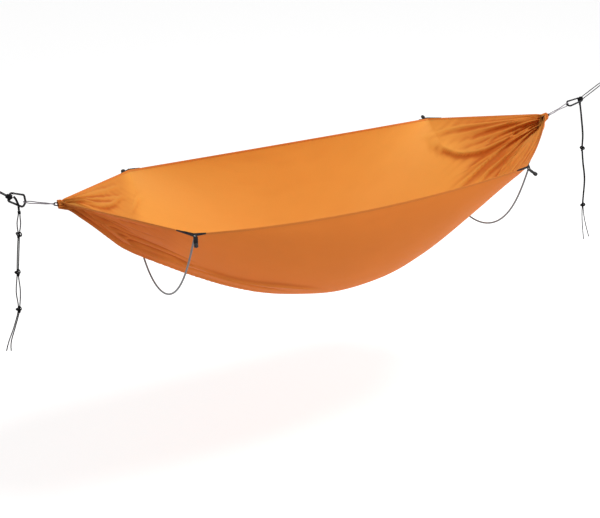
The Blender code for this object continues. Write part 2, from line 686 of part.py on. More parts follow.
def build_channel_cord(side, hammock, line_frame):
    # A bight out of the gathered end, whose legs turn in the hollow of the pleats
    eye, radius, turn = CHANNEL_EYE - CHANNEL_CORD / 2, CHANNEL_EYE_RADIUS, CHANNEL_TURN_RADIUS
    bight = arc_points((eye - radius, 0, 0), radius, -90, 90, 8)
    half_turn = [(-CHANNEL_DEPTH, turn * math.sin(a), turn * math.cos(a))
                 for a in np.radians(np.linspace(0, 180, 7))]
    leg = [(0.0, 0.0, turn)]
    route = smooth_route(bight + leg + half_turn + [(0.0, 0.0, -turn)], 0.0048, closed=True)
    cord(f"{side}_channel_cord", route, CHANNEL_CORD, BLACK_CORD, hammock, closed=True, matrix=line_frame)


def build_end_loop(side, hammock, line_frame):
    # Two strands wound half a turn round each other, from the channel cord's bight to the wide bar
    near = CHANNEL_EYE - CHANNEL_CORD / 2
    near_radius = (CHANNEL_CORD + LOOP_CORD) / 2 + TOUCH
    far = LOOP_REACH[side] + WIDE_BAR_OFFSET
    far_radius = (CARABINER_BAR + LOOP_CORD) / 2 + LOOP_PLAY
    twist = math.pi - SIDES[side] * CARABINER_ROLL[side]
    strand = []
    for i in range(1, LOOP_STEPS):
        t = i / LOOP_STEPS
        angle = math.pi + twist * t
        radius = near_radius + (far_radius - near_radius) * t
        radius -= (radius - LOOP_CORD / 2 - LOOP_CROSSING) * math.sin(math.pi * t) ** 2
        strand.append((near + (far - near) * t, radius * math.cos(angle), radius * math.sin(angle)))
    half_turn = np.radians(np.linspace(0, 180, 7))
    near_turn = [(near - near_radius * math.sin(a), near_radius * math.cos(a), 0.0) for a in half_turn]
    side_y, side_z = math.cos(math.pi + twist), math.sin(math.pi + twist)
    far_turn = [(far + far_radius * math.sin(a), far_radius * math.cos(a) * side_y,
                 far_radius * math.cos(a) * side_z) for a in half_turn]
    back = [(x, -y, -z) for x, y, z in reversed(strand)]
    route = near_turn + strand + far_turn + back
    cord(f"{side}_end_loop", route, LOOP_CORD, GREY_CORD, hammock, closed=True, matrix=line_frame)


def ball(radius, segments=12, rings=8, stretch=(1, 1, 1)):
    def build(bm):
        made = bmesh.ops.create_uvsphere(bm, u_segments=segments, v_segments=rings, radius=radius)["verts"]
        bmesh.ops.scale(bm, vec=stretch, verts=made)
    return build


def rope_ends(side):
    # The hitch's middle on the narrow bar, the anchor knot's middle, and the way from one to the other
    narrow_bar = (Vector(CARABINER_CORNERS[3]) + Vector(CARABINER_CORNERS[4])) / 2
    hitch = carabiner_frame(side) @ Vector((narrow_bar.x, 0, narrow_bar.y))
    run = (ANCHOR_RISE - hitch.z) / math.tan(ROPE_RISE[side])
    knot = Vector((hitch.x + SIDES[side] * run, 0, ANCHOR_RISE))
    return hitch, knot, (knot - hitch).normalized()


def build_hitch(side, hammock, carabiner, bar):
    hitch_at = rope_ends(side)[0]
    hitch = place(f"{side}_hitch_knot", mesh_from(ball(HITCH_RADIUS)), BLACK_CORD, hammock,
                  Matrix.Translation(hitch_at))
    cutter = place(f"{side}_hitch_cut", tube_mesh(bar, CARABINER_BAR + 2 * TOUCH), None, carabiner)
    combine(hitch, cutter, "DIFFERENCE")


def build_rope(side, hammock):
    # Two strands side by side from the hitch, drawn together at the anchor knot
    hitch, knot, line = rope_ends(side)
    line_frame = frame_at(hitch, line, (0, 0, 1))
    wide = ROPE_SPREAD[side] / 2
    narrow = (ROPE_DIAMETER + TOUCH) / 2
    start = math.sqrt((HITCH_RADIUS + TOUCH) ** 2 - (wide - ROPE_DIAMETER / 2) ** 2)
    end = (knot - hitch).length - ANCHOR_KNOT_RADIUS - TOUCH
    for strand, lift in (("upper", 1), ("lower", -1)):
        points = [(x, 0, lift * (wide + (narrow - wide) * smooth_share(x, ROPE_CLOSING * end, end)))
                  for x in np.linspace(start, end, ROPE_STEPS + 1)]
        cord(f"{side}_rope_{strand}", points, ROPE_DIAMETER, BLACK_CORD, hammock, matrix=line_frame)


def anchor_frame(side):
    # At the anchor knot's middle, X along its loop, which hangs straight over the bed's own middle line
    _, knot, line = rope_ends(side)
    return frame_at(knot, (line.x, 0, line.z), (0, 0, 1))


def build_anchor_loop(side, anchors):
    knot_frame = anchor_frame(side)
    half = ANCHOR_LOOP_WIDTH / 2
    bight = arc_points((ANCHOR_LOOP_LENGTH - half, 0, 0), half, -80, 80, 8)
    out = [(along, 0, -across) for along, across in ANCHOR_LOOP_SIDE]
    back = [(along, 0, across) for along, across in reversed(ANCHOR_LOOP_SIDE)]
    route = smooth_route(out + bight + back, 3 * ROPE_DIAMETER)
    loop = place(f"{side}_anchor_loop", tube_mesh(route, ROPE_DIAMETER), BLACK_CORD, anchors, knot_frame)
    knot = place(f"{side}_anchor_knot_form", mesh_from(ball(ANCHOR_KNOT_RADIUS)), None, anchors, knot_frame)
    combine(loop, knot, "UNION")


def build_lead(hammock):
    # The left tail's first stretch, past the carabiner's front; gives the place where the tail hangs
    frame = carabiner_frame("left")
    to_front = -1 if (frame.to_3x3() @ Vector((0, 1, 0))).y > 0 else 1
    clear = to_front * (CARABINER_BAR / 2 + LEAD_DIAMETER / 2 + 2 * TOUCH)
    lead = [frame @ Vector((along, clear, across)) for along, across in LEAD_ROUTE]
    lead.append(lead[-1] - Vector((0, 0, LEAD_DROP)))
    cord("left_tail_lead", smooth_route(lead, 2.5 * ROPE_DIAMETER), LEAD_DIAMETER, BLACK_CORD, hammock)
    return lead[-1] - Vector((0, 0, 2 * TOUCH))


def tail_strand(side, across):
    # Along the tail's route: bulging between knots, close together through each, parted at the free ends
    middle = [Vector(p) for p in smooth_route([(x, 0, z) for x, z in TAIL_ROUTE[side]], TAIL_STEP)]
    last = len(middle) - 1
    step = (middle[1] - middle[0]).length
    knots = (0.0,) + TAIL_KNOTS[side]
    points = []
    for i, point in enumerate(middle):
        down = step * i
        stretch = sum(down > k for k in knots[1:])
        low = knots[stretch]
        if stretch + 1 < len(knots):
            spread = math.sin(math.pi * (down - low) / (knots[stretch + 1] - low)) ** 2
        else:
            spread = ((down - low) / (step * last - low)) ** TAIL_PARTING[side]
        heading = (middle[min(i + 1, last)] - middle[max(i - 1, 0)]).normalized()
        apart = ROPE_DIAMETER / 2 + TOUCH + TAIL_BULGE[side][stretch] * spread
        wave = TAIL_WAVE * math.sin(math.tau * down / TAIL_WAVE_PERIOD)
        points.append(point + Vector((-heading.z, 0, heading.x)) * across * apart + Vector((0, wave, 0)))
    return points, step


def build_tail(side, hammock, top):
    # Both strands and the knots that tie them, swinging about the middle of the collar on top
    collar_at = top - Vector((0, 0, TAIL_COLLAR_RADIUS * KNOT_STRETCH))
    axis = make_empty(f"{side}_tail_axis", hammock, Matrix.Translation(collar_at))
    near, step = tail_strand(side, -1)
    far, _ = tail_strand(side, 1)
    tail = place(f"{side}_tail_cord", tube_mesh(near, ROPE_DIAMETER), BLACK_CORD, axis)
    forms = [place(f"{side}_tail_strand_form", tube_mesh(far, ROPE_DIAMETER), None, axis)]
    knots = [(0.0, TAIL_COLLAR_RADIUS)] + [(down, TAIL_KNOT_RADIUS) for down in TAIL_KNOTS[side]]
    for i, (down, radius) in enumerate(knots):
        beside = round(down / step)
        form = mesh_from(ball(radius, 10, 6, (1, 1, KNOT_STRETCH)))
        at = Matrix.Translation((near[beside] + far[beside]) / 2)
        forms.append(place(f"{side}_tail_knot_form_{i}", form, None, axis, at))
    for form in reversed(forms):
        combine(tail, form, "UNION")


# Assembly

LEFT_KNOT = anchor_frame("left").translation
BEARING = anchor_frame("left") @ Vector((ANCHOR_LOOP_LENGTH - ROPE_DIAMETER / 2, 0, 0))

# The anchor loops stay put, and everything else swings about the line through their knots
anchors = make_empty("anchors", None, Matrix.Translation(-BEARING))
swing_axis = make_empty("swing_axis", anchors, Matrix.Translation(LEFT_KNOT))
hammock = make_empty("hammock", swing_axis, Matrix.Translation(-LEFT_KNOT))
build_bed(hammock)
for side, sign in SIDES.items():
    build_pole(side, hammock)
    for row in ROWS:
        build_corner(row, side, hammock)
    gather = Vector((sign * HALF_GATHER, 0, GATHER_RISE))
    slope = LINE_SLOPE[side]
    line_frame = frame_at(gather, (sign * math.cos(slope), 0, math.sin(slope)), (0, 0, 1))
    build_channel_cord(side, hammock, line_frame)
    build_end_loop(side, hammock, line_frame)
    carabiner, bar = build_carabiner(side, hammock)
    build_hitch(side, hammock, carabiner, bar)
    build_rope(side, hammock)
    build_anchor_loop(side, anchors)
build_tail("left", hammock, build_lead(hammock))
build_tail("right", hammock, rope_ends("right")[0] - Vector((0, 0, HITCH_RADIUS + TOUCH)))
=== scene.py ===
# Double hammock: the looks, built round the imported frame
# Metres, Z up, X from the left anchor to the right one, -Y the front

import json
import math

import bmesh
import bpy
import numpy as np
from mathutils import Matrix, Vector, noise


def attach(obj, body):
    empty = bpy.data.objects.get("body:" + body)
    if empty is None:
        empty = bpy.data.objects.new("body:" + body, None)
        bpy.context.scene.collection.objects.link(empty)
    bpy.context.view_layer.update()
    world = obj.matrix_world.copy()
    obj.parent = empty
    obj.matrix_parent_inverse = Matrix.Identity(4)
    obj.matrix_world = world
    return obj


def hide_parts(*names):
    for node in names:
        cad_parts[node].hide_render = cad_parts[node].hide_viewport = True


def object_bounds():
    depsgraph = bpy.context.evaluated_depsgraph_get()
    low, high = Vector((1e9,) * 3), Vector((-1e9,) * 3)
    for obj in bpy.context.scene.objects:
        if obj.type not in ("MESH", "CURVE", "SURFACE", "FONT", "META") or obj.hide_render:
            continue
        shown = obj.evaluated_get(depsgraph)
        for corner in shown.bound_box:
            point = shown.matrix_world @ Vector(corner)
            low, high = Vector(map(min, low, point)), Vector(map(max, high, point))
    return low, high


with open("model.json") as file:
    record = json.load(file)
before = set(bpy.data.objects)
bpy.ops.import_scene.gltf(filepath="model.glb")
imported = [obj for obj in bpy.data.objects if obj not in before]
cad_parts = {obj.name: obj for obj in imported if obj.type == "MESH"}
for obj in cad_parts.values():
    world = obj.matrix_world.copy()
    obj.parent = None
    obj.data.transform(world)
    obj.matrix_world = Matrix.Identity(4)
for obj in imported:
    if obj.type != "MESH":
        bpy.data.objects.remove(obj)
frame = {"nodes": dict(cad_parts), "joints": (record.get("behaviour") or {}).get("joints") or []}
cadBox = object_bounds()
jointAt = {joint["name"]: Vector(joint["pos_m"]) for joint in frame["joints"]}
sides = {"left": -1, "right": 1}
rows = {"front": -1, "back": 1}
print("frame loaded,", len(frame["nodes"]), "nodes")


# Places: the frame's own, and the two ends of the cloth

middle = (jointAt["left_pole_swing"] + jointAt["right_pole_swing"]) / 2  # between the four pole tips
toWorld = Matrix.Translation(middle)
lineSlope = {"left": math.radians(15), "right": math.radians(18.5)}  # of the lines that pull the two ends
gather = {"reach": 1.225, "rise": 0.064}  # the cloth's ends, from the middle


def frameAt(origin, along, across):
    # X runs along, Z as near to across as a right angle allows
    x = Vector(along).normalized()
    z = (Vector(across) - x * x.dot(Vector(across))).normalized()
    return Matrix.Translation(origin) @ Matrix((x, z.cross(x), z)).transposed().to_4x4()


def gatherFrame(side):
    sign, slope = sides[side], lineSlope[side]
    place = middle + Vector((sign * gather["reach"], 0, gather["rise"]))
    return frameAt(place, (sign * math.cos(slope), 0, math.sin(slope)), (0, 0, 1))


def facing(direction):
    return direction.to_track_quat("Z", "Y").to_matrix().to_4x4()


quarterTurn = Matrix.Rotation(math.pi / 2, 4, "Y")  # from Z to X


def smoothShare(value, low, high):
    t = np.clip((np.asarray(value, float) - low) / (high - low), 0, 1)
    return t * t * (3 - 2 * t)


def between(low, high, share):
    return low + (high - low) * share


def lengthsAlong(points):
    return np.concatenate([[0], np.cumsum(np.linalg.norm(np.diff(points, axis=0), axis=1))])


def readOff(at, lengths, values):
    return np.stack([np.interp(at, lengths, part) for part in np.transpose(values)], axis=1)


def unitOf(vectors):
    return vectors / np.maximum(np.linalg.norm(vectors, axis=-1), 1e-12)[..., None]


def addObject(name, data):
    made = bpy.data.objects.new(name, data)
    bpy.context.scene.collection.objects.link(made)
    return made


# Camera, at the photograph's angle

view = {"yaw": 25.2, "pitch": 24.67, "roll": -1.31, "distance": 4.8235, "lens": 63.68, "right": -0.1201,
        "up": -0.4076}


def makeCamera():
    yaw, pitch, roll = (math.radians(view[turn]) for turn in ("yaw", "pitch", "roll"))
    ahead = Vector((math.sin(yaw) * math.cos(pitch), math.cos(yaw) * math.cos(pitch), -math.sin(pitch)))
    level = Vector((math.cos(yaw), -math.sin(yaw), 0))
    upright = level.cross(ahead)
    right = level * math.cos(roll) + upright * math.sin(roll)
    up = upright * math.cos(roll) - level * math.sin(roll)
    camera = addObject("camera", bpy.data.cameras.new("camera"))
    camera.data.lens = view["lens"]
    camera.data.sensor_width = 36
    camera.data.clip_end = 200
    place = middle + right * view["right"] + up * view["up"] - ahead * view["distance"]
    camera.matrix_world = Matrix.Translation(place) @ Matrix((right, up, -ahead)).transposed().to_4x4()
    bpy.context.scene.camera = camera


makeCamera()
print("camera placed")


# Materials

def startMaterial(name, colour, roughness, metallic=0.0, specular=0.5, sheen=0.0):
    material = bpy.data.materials.new(name)
    material.use_nodes = True
    tree = material.node_tree
    shader = tree.nodes["Principled BSDF"]
    values = {"Base Color": (*colour, 1), "Roughness": roughness, "Metallic": metallic,
              "Specular IOR Level": specular, "Sheen Weight": sheen}
    for socket, value in values.items():
        shader.inputs[socket].default_value = value
    return material, tree, shader


def addNode(tree, kind, **values):
    # A node with its settings, and its sockets by name or number
    node = tree.nodes.new(kind)
    for name, value in values.items():
        if name.startswith("in_"):
            key = name[3:]
            socket = node.inputs[int(key)] if key.isdigit() else node.inputs[key.replace("_", " ")]
            if isinstance(value, bpy.types.NodeSocket):
                tree.links.new(value, socket)
            else:
                socket.default_value = value
        else:
            setattr(node, name, value)
    return node


def mathNode(tree, operation, first, second=0.0):
    return addNode(tree, "ShaderNodeMath", operation=operation, in_0=first, in_1=second).outputs[0]


def times(tree, first, second):
    return mathNode(tree, "MULTIPLY", first, second)


def surfacePlace(tree, source="UV"):
    return tree.nodes.new("ShaderNodeTexCoord").outputs[source]


def finishBump(tree, shader, height, strength, distance, before=None):
    bump = addNode(tree, "ShaderNodeBump", in_Strength=strength, in_Distance=distance, in_Height=height)
    if before is not None:
        tree.links.new(before, bump.inputs["Normal"])
    tree.links.new(bump.outputs[0], shader.inputs["Normal"])
    return bump.outputs[0]


def grain(tree, place, scale, detail=3.0, rough=0.5):
    return addNode(tree, "ShaderNodeTexNoise", in_Vector=place, in_Scale=scale, in_Detail=detail,
                   in_Roughness=rough).outputs["Fac"]


def sineWaves(tree, place, *pitches):
    parts = addNode(tree, "ShaderNodeSeparateXYZ", in_0=place).outputs
    return [mathNode(tree, "SINE", times(tree, part, math.tau / pitch))
            for part, pitch in zip(parts, pitches)]


def shades(tree, share, dark, light, low=0.3, high=0.7):
    ramp = addNode(tree, "ShaderNodeValToRGB", in_0=share)
    for stop, place, colour in zip(ramp.color_ramp.elements, (low, high), (dark, light)):
        stop.position = place
        stop.color = (*colour, 1)
    return ramp.outputs[0]


def mixColours(tree, share, first, second):
    node = addNode(tree, "ShaderNodeMix", data_type="RGBA")
    for socket, value in zip((node.inputs[0], node.inputs[6], node.inputs[7]), (share, first, second)):
        tree.links.new(value, socket)
    return node.outputs[2]


def braidMaterial(name, dark, light, roughness, sheen, pick):
    # A plaited jacket: two families of strands that cross, at pick metres a stitch
    material, tree, shader = startMaterial(name, light, roughness, specular=0.12, sheen=sheen)
    split = addNode(tree, "ShaderNodeSeparateXYZ", in_0=surfacePlace(tree))
    ridges = []
    for family in ("ADD", "SUBTRACT"):
        slanted = times(tree, mathNode(tree, family, *split.outputs[:2]), math.pi / pick)
        ridges.append(mathNode(tree, "ABSOLUTE", mathNode(tree, "SINE", slanted)))
    crossing = times(tree, *ridges)
    fibres = grain(tree, surfacePlace(tree, "Object"), 900, 2.0)
    colour = shades(tree, times(tree, crossing, fibres), dark, light, 0.05, 0.6)
    tree.links.new(colour, shader.inputs["Base Color"])
    finishBump(tree, shader, mathNode(tree, "ADD", crossing, times(tree, fibres, 0.3)), 0.6, 0.0003)
    return material


def clothMaterial(name, dark, light, passing, through, inner=None):
    # Fine plain-weave nylon that lets some light through, its inner face painted lighter and yellower as
    # painted light, and painted shade in its folds and towards the gathered ends
    material, tree, shader = startMaterial(name, light, 0.58, specular=0.18, sheen=0.03)
    place = surfacePlace(tree)
    weave = times(tree, *sineWaves(tree, place, 0.0009, 0.0009))
    tone, thread = grain(tree, place, 2.2, 4.0, 0.6), grain(tree, place, 160, 2.0)
    share = mathNode(tree, "ADD", times(tree, tone, 0.75), times(tree, thread, 0.25))
    colour = shades(tree, share, dark, light)
    if inner:
        inside, paintedShade = (addNode(tree, "ShaderNodeAttribute", attribute_name=mark).outputs["Fac"]
                          for mark in ("inside", "paintedShade"))
        # Painted light: the inner face gets lighter, yellower colours than the outer face of the same nylon
        colour = mixColours(tree, inside, colour, shades(tree, share, *inner[:2]))
        # Painted shade: darker colours in the fold hollows and towards the gathered ends
        colour = mixColours(tree, paintedShade, colour, shades(tree, inside, *inner[2:], 0, 1))
    tree.links.new(colour, shader.inputs["Base Color"])
    stretched = addNode(tree, "ShaderNodeMapping", in_0=place, in_Scale=(0.35, 1.6, 1.0)).outputs[0]
    first = finishBump(tree, shader, weave, 0.12, 0.0002)
    last = finishBump(tree, shader, grain(tree, stretched, 14, 4.0, 0.55), 0.25, 0.004, first)
    lit = addNode(tree, "ShaderNodeBsdfTranslucent", in_Color=(*through, 1), in_Normal=last)
    mixed = addNode(tree, "ShaderNodeMixShader", in_0=passing, in_1=shader.outputs[0], in_2=lit.outputs[0])
    tree.links.new(mixed.outputs[0], tree.nodes["Material Output"].inputs["Surface"])
    return material


def webbingMaterial(name, dark, light):
    # Ribbed webbing: coarse ribs across, fine yarn along
    material, tree, shader = startMaterial(name, light, 0.72, specular=0.2)
    weave = times(tree, *sineWaves(tree, surfacePlace(tree), 0.0012, 0.0008))
    fuzz = grain(tree, surfacePlace(tree, "Object"), 700, 3.0)
    share = mathNode(tree, "ADD", times(tree, weave, 0.25), fuzz)
    tree.links.new(shades(tree, share, dark, light, 0.2, 0.8), shader.inputs["Base Color"])
    finishBump(tree, shader, mathNode(tree, "ADD", weave, fuzz), 0.5, 0.0003)
    return material


def grainyMaterial(name, dark, light, roughness, metallic, specular, tone, ramp, relief, bump):
    # Colour and relief from two grains. Of two roughnesses, the first is where the colour is dark
    material, tree, shader = startMaterial(name, light, roughness[0], metallic, specular)
    place = surfacePlace(tree, "Object")
    worn = grain(tree, place, *tone)
    tree.links.new(shades(tree, worn, dark, light, *ramp), shader.inputs["Base Color"])
    if len(roughness) > 1:
        spread = addNode(tree, "ShaderNodeMapRange", in_0=worn, in_1=0.3, in_2=0.7, in_3=roughness[0],
                         in_4=roughness[1])
        tree.links.new(spread.outputs[0], shader.inputs["Roughness"])
    finishBump(tree, shader, grain(tree, place, *relief), *bump)
    return material


metalGrain = ((45, 5.0, 0.65), (0.35, 0.65), (620, 3.0, 0.6), (0.2, 0.0001))  # handling marks, fine scratches
threadGrain = ((1400, 2.0), (0.3, 0.7), (1400, 2.0), (0.4, 0.0001))  # both change along each stitch
finishes = {  # the record's slot, then what makes the material, its name, dark and light colour and the rest
    "rope": ("black_rope", braidMaterial, "black braided rope", (0.004, 0.004, 0.005), (0.013, 0.013, 0.015),
             0.85, 0.02, 0.0024),
    "grey cord": ("grey_cord", braidMaterial, "pale grey braided cord", (0.17, 0.15, 0.17),
                  (0.36, 0.32, 0.35), 0.75, 0.05, 0.0018),
    "elastic": ("elastic_cord", braidMaterial, "white elastic cord", (0.5, 0.5, 0.48), (0.78, 0.78, 0.76),
                0.75, 0.2, 0.0012),
    # cloth: outer colours, then the inner face's painted-light colours, then the painted shade outside and
    # inside
    "cloth": ("bed_cloth", clothMaterial, "orange nylon", (0.81, 0.287, 0.044), (0.88, 0.318, 0.050), 0.34,
              (0.86, 0.30, 0.035), ((0.81, 0.410, 0.070), (0.87, 0.450, 0.080), (0.52, 0.135, 0.020),
                                    (0.50, 0.165, 0.022))),
    "hem": ("bed_cloth", clothMaterial, "doubled orange nylon", (0.74, 0.25, 0.040), (0.82, 0.28, 0.046),
            0.28, (0.82, 0.27, 0.03)),
    "orange thread": ("bed_cloth", grainyMaterial, "orange thread", (0.50, 0.13, 0.020), (0.64, 0.18, 0.030),
                      (0.55,), 0.0, 0.5, *threadGrain),
    "tube": ("pole_metal", grainyMaterial, "dark grey anodised tube", (0.150, 0.155, 0.160),
             (0.205, 0.210, 0.218), (0.42, 0.54), 0.4, 0.5, *metalGrain),
    "bare metal": ("bare_metal", grainyMaterial, "bare aluminium", (0.52, 0.53, 0.55), (0.70, 0.71, 0.73),
                   (0.24, 0.38), 1.0, 0.5, *metalGrain),
    "link metal": ("carabiner_metal", grainyMaterial, "black anodised aluminium", (0.004, 0.004, 0.005),
                   (0.010, 0.010, 0.012), (0.40, 0.55), 0.0, 0.25, *metalGrain),
    "plastic": ("black_plastic", grainyMaterial, "black moulded plastic", (0.012, 0.012, 0.013),
                (0.024, 0.024, 0.026), (0.5,), 0.0, 0.3, (60, 4.0), (0.3, 0.7), (900, 2.0), (0.35, 0.00015)),
    "webbing": ("webbing", webbingMaterial, "black webbing", (0.005, 0.005, 0.006), (0.018, 0.018, 0.020)),
    "grey thread": ("webbing", grainyMaterial, "grey thread", (0.035, 0.035, 0.037), (0.07, 0.07, 0.073),
                    (0.55,), 0.0, 0.5, *threadGrain)}
finishes = {finish: (slot, make(*values)) for finish, (slot, make, *values) in finishes.items()}
print("materials made")


# Shapes that several pieces share

def addPiece(name, mesh, finish, stands=None, body="hammock"):
    piece = addObject(name, mesh)
    usual, material = finishes[finish]
    mesh.materials.clear()
    mesh.materials.append(material)
    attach(piece, body)
    if stands:
        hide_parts(stands)
    return piece


def readAll(things, name, width=1, kind=np.float32):
    values = np.zeros(len(things) * width, kind)
    things.foreach_get(name, values)
    return values.reshape(-1, width)


def writeAll(things, name, values):
    things.foreach_set(name, values.astype(np.float32).ravel())


def meshFrom(bm, sharpAngle=40, place=None, recalc=True):
    if recalc:
        bmesh.ops.recalc_face_normals(bm, faces=bm.faces[:])
    mesh = bpy.data.meshes.new("shape")
    bm.to_mesh(mesh)
    bm.free()
    if place is not None:
        mesh.transform(place)
    mesh.shade_smooth()
    mesh.set_sharp_from_angle(angle=math.radians(sharpAngle))
    return mesh


def joinedMesh(meshes, sharpAngle=50, place=None, recalc=False):
    bm = bmesh.new()
    for mesh in meshes:
        bm.from_mesh(mesh)
    return meshFrom(bm, sharpAngle, place, recalc)


def smoothRoute(points, step, closed=False):
    # A curve through the given points, read off at an even step
    knots = [np.array(point, dtype=float) for point in points]
    if closed:
        knots = [knots[-1]] + knots + [knots[0], knots[1]]
    else:
        knots = [2 * knots[0] - knots[1]] + knots + [2 * knots[-1] - knots[-2]]
    fine = []
    for a, b, c, d in zip(knots, knots[1:], knots[2:], knots[3:]):
        for t in np.linspace(0, 1, 24, endpoint=False):
            fine.append(0.5 * (2 * b + (c - a) * t + (2 * a - 5 * b + 4 * c - d) * t**2
                               + (3 * b - a - 3 * c + d) * t**3))
    fine = np.array(fine + [knots[-2]])
    lengths = lengthsAlong(fine)
    even = readOff(np.linspace(0, lengths[-1], max(2, round(lengths[-1] / step)) + 1), lengths, fine)
    return even[:-1] if closed else even


def routeLength(points):
    return float(np.linalg.norm(np.diff(np.array(points), axis=0), axis=1).sum())


def braidRelief(along, around, girth, pitch, strands=8):
    # Two families of strands, over and under each other in turn
    a = around / girth * strands + along / pitch
    b = around / girth * strands - along / pitch
    heights = [np.sqrt(np.clip(1 - (2 * (own % 1) - 1) ** 2, 0, 1))
               * (1 + sign * np.cos(np.pi * (other + np.floor(own)))) / 2
               for own, other, sign in ((a, b, 1), (b, a, -1))]
    return np.maximum(*heights)


def tubeMesh(points, diameter, sideCount=24, closed=False, relief=0.0, place=None, openEnds=False):
    # A bevelled curve made a mesh; its UV map is in metres along and around
    curve = bpy.data.curves.new("route", "CURVE")
    curve.dimensions = "3D"
    curve.bevel_depth = diameter / 2
    curve.bevel_resolution = (sideCount - 4) // 2
    roundEnds = not (openEnds or closed)
    curve.use_fill_caps = roundEnds
    curve.twist_mode = "MINIMUM"
    spline = curve.splines.new("POLY")
    points = [Vector(point) for point in points]
    if roundEnds:
        for end, inner in ((0, 1), (-1, -2)):
            tip = (points[end] - points[inner]).normalized() * diameter * 0.12
            points.insert(len(points) if end else 0, points[end] + tip)
    spline.points.add(len(points) - 1)
    for slot, point in zip(spline.points, points):
        slot.co = (*point, 1)
    if roundEnds:
        spline.points[0].radius = spline.points[-1].radius = 0.72
    spline.use_cyclic_u = closed
    guide = addObject("guide", curve)
    drawn = bpy.data.meshes.new_from_object(guide)
    bpy.data.objects.remove(guide, do_unlink=True)
    bm = bmesh.new()
    bm.from_mesh(drawn)
    bmesh.ops.remove_doubles(bm, verts=bm.verts[:], dist=1e-6)
    mesh = meshFrom(bm, 50)
    length = routeLength(points + points[:1] if closed else points)
    girth = math.pi * diameter
    laid = mesh.uv_layers[0].data
    uv = readAll(laid, "uv", 2) * (length, girth)
    writeAll(laid, "uv", uv)
    if relief:
        onVertex = np.zeros((len(mesh.vertices), 2))
        onVertex[readAll(mesh.loops, "vertex_index", kind=np.int32)[:, 0]] = uv
        co, normal = (readAll(mesh.vertices, part, 3) for part in ("co", "normal"))
        pitch = length / max(1, round(length / (diameter * 0.62)))
        height = braidRelief(*onVertex.T, girth, pitch)
        writeAll(mesh.vertices, "co", co + normal * (relief * (height - 0.6))[:, None])
    if place is not None:
        mesh.transform(place)
    mesh.update()
    return mesh


# The snap links' place, and the ropes that run from them

link = {"loopReach": {"left": 0.1335, "right": 0.1315}, "steeper": {"left": 12, "right": -4},
        "swing": {"left": 13, "right": 12.5}, "roll": {"left": 5.5, "right": 81},
        "corners": ((0.0145, 0.0265), (0.000, 0.000), (0.005, -0.0225), (0.076, -0.0115), (0.076, 0.0215)),
        "bar": 0.0088, "fillet": 0.0095, "gateBar": 0.0079, "nose": 0.0245, "pivot": 0.0610,
        "gateTail": 0.0034, "gateGap": 0.0006, "tongue": 0.0026, "hinge": 0.0058, "pin": 0.0023,
        "play": 0.0003, "well": (0.018, 0.0030), "grooves": (0.0040, 0.0, -0.0040)}
rope = {"diameter": 0.0045, "relief": 0.00028, "step": 0.0011, "gap": 0.0003,
        "spread": {"left": 0.0048, "right": 0.0146}, "rise": {"left": 37.5, "right": 25.3},
        "closing": 0.65,  # share of their way where the strands start to draw together
        "anchorRise": 0.205, "hitchRadius": 0.0135, "anchorKnot": 0.0095, "intoKnots": (0.006, 0.004)}


def ropeMesh(route, closed=False, place=None, sideCount=24):
    return tubeMesh(route, rope["diameter"], sideCount, closed, rope["relief"], place)


def addRope(name, route, stands, body="hammock"):
    piece = addPiece(name, ropeMesh(route), "rope", stands, body)


def linkFrame(side):
    # Origin in the middle of the wide bar, X towards the narrow end, Z across
    sign = sides[side]
    slope, swing = lineSlope[side] + math.radians(link["steeper"][side]), math.radians(link["swing"][side])
    level = math.cos(slope)
    along = Vector((sign * level * math.cos(swing), -level * math.sin(swing), math.sin(slope)))
    roll = Matrix.Rotation(-math.radians(link["roll"][side]), 3, along * sign)
    origin = gatherFrame(side) @ Vector((link["loopReach"][side], 0, 0))
    return frameAt(origin, along, roll @ Vector((0, 0, 1)))


def ropeEnds(side):
    # The hitch's middle on the narrow bar, the anchor knot's middle, and the way from one to the other
    narrowBar = (Vector(link["corners"][3]) + Vector(link["corners"][4])) / 2
    hitch = linkFrame(side) @ Vector((narrowBar.x, 0, narrowBar.y))
    run = (middle.z + rope["anchorRise"] - hitch.z) / math.tan(math.radians(rope["rise"][side]))
    knot = Vector((hitch.x + sides[side] * run, middle.y, middle.z + rope["anchorRise"]))
    return hitch, knot, (knot - hitch).normalized()


def makeRopes(side):
    # Two strands side by side, drawn together at the anchor knot
    hitch, knot, line = ropeEnds(side)
    place = frameAt(hitch, line, (0, 0, 1))
    diameter, gap = rope["diameter"], rope["gap"]
    wide, narrow = rope["spread"][side] / 2, (diameter + gap) / 2
    intoHitch, intoKnot = rope["intoKnots"]
    start = math.sqrt((rope["hitchRadius"] + gap) ** 2 - (wide - diameter / 2) ** 2) - intoHitch
    end = (knot - hitch).length - rope["anchorKnot"] + intoKnot
    for strand, lift in (("upper", 1), ("lower", -1)):
        marks = [(x, 0, lift * between(wide, narrow, float(smoothShare(x, rope["closing"] * end, end))))
                 for x in np.linspace(start, end, 16)]
        route = [place @ Vector(point) for point in smoothRoute(marks, rope["step"])]
        addRope(f"{side}_{strand}_rope", route, f"{side}_rope_{strand}")


def knotForm(size, depth, apart, turn, place, stretch=1.0):
    # An overhand knot in a doubled rope, drawn tight and stretched along Z
    strands = []
    for offset in (-apart / 2, apart / 2):
        route = []
        for t in np.linspace(0, math.tau, 60, endpoint=False):
            x, y = math.sin(t) + 2 * math.sin(2 * t), math.cos(t) - 2 * math.cos(2 * t)
            route.append((x * size / 3, offset - depth * math.sin(3 * t), y * size / 3))
        strands.append(ropeMesh(route, closed=True))
    stretched = Matrix.Diagonal((1, 1, stretch, 1)) @ Matrix.Rotation(turn, 4, "Y")
    return joinedMesh(strands, place=place @ stretched, recalc=True)


for side in sides:
    makeRopes(side)
print("ropes made")


# The tails

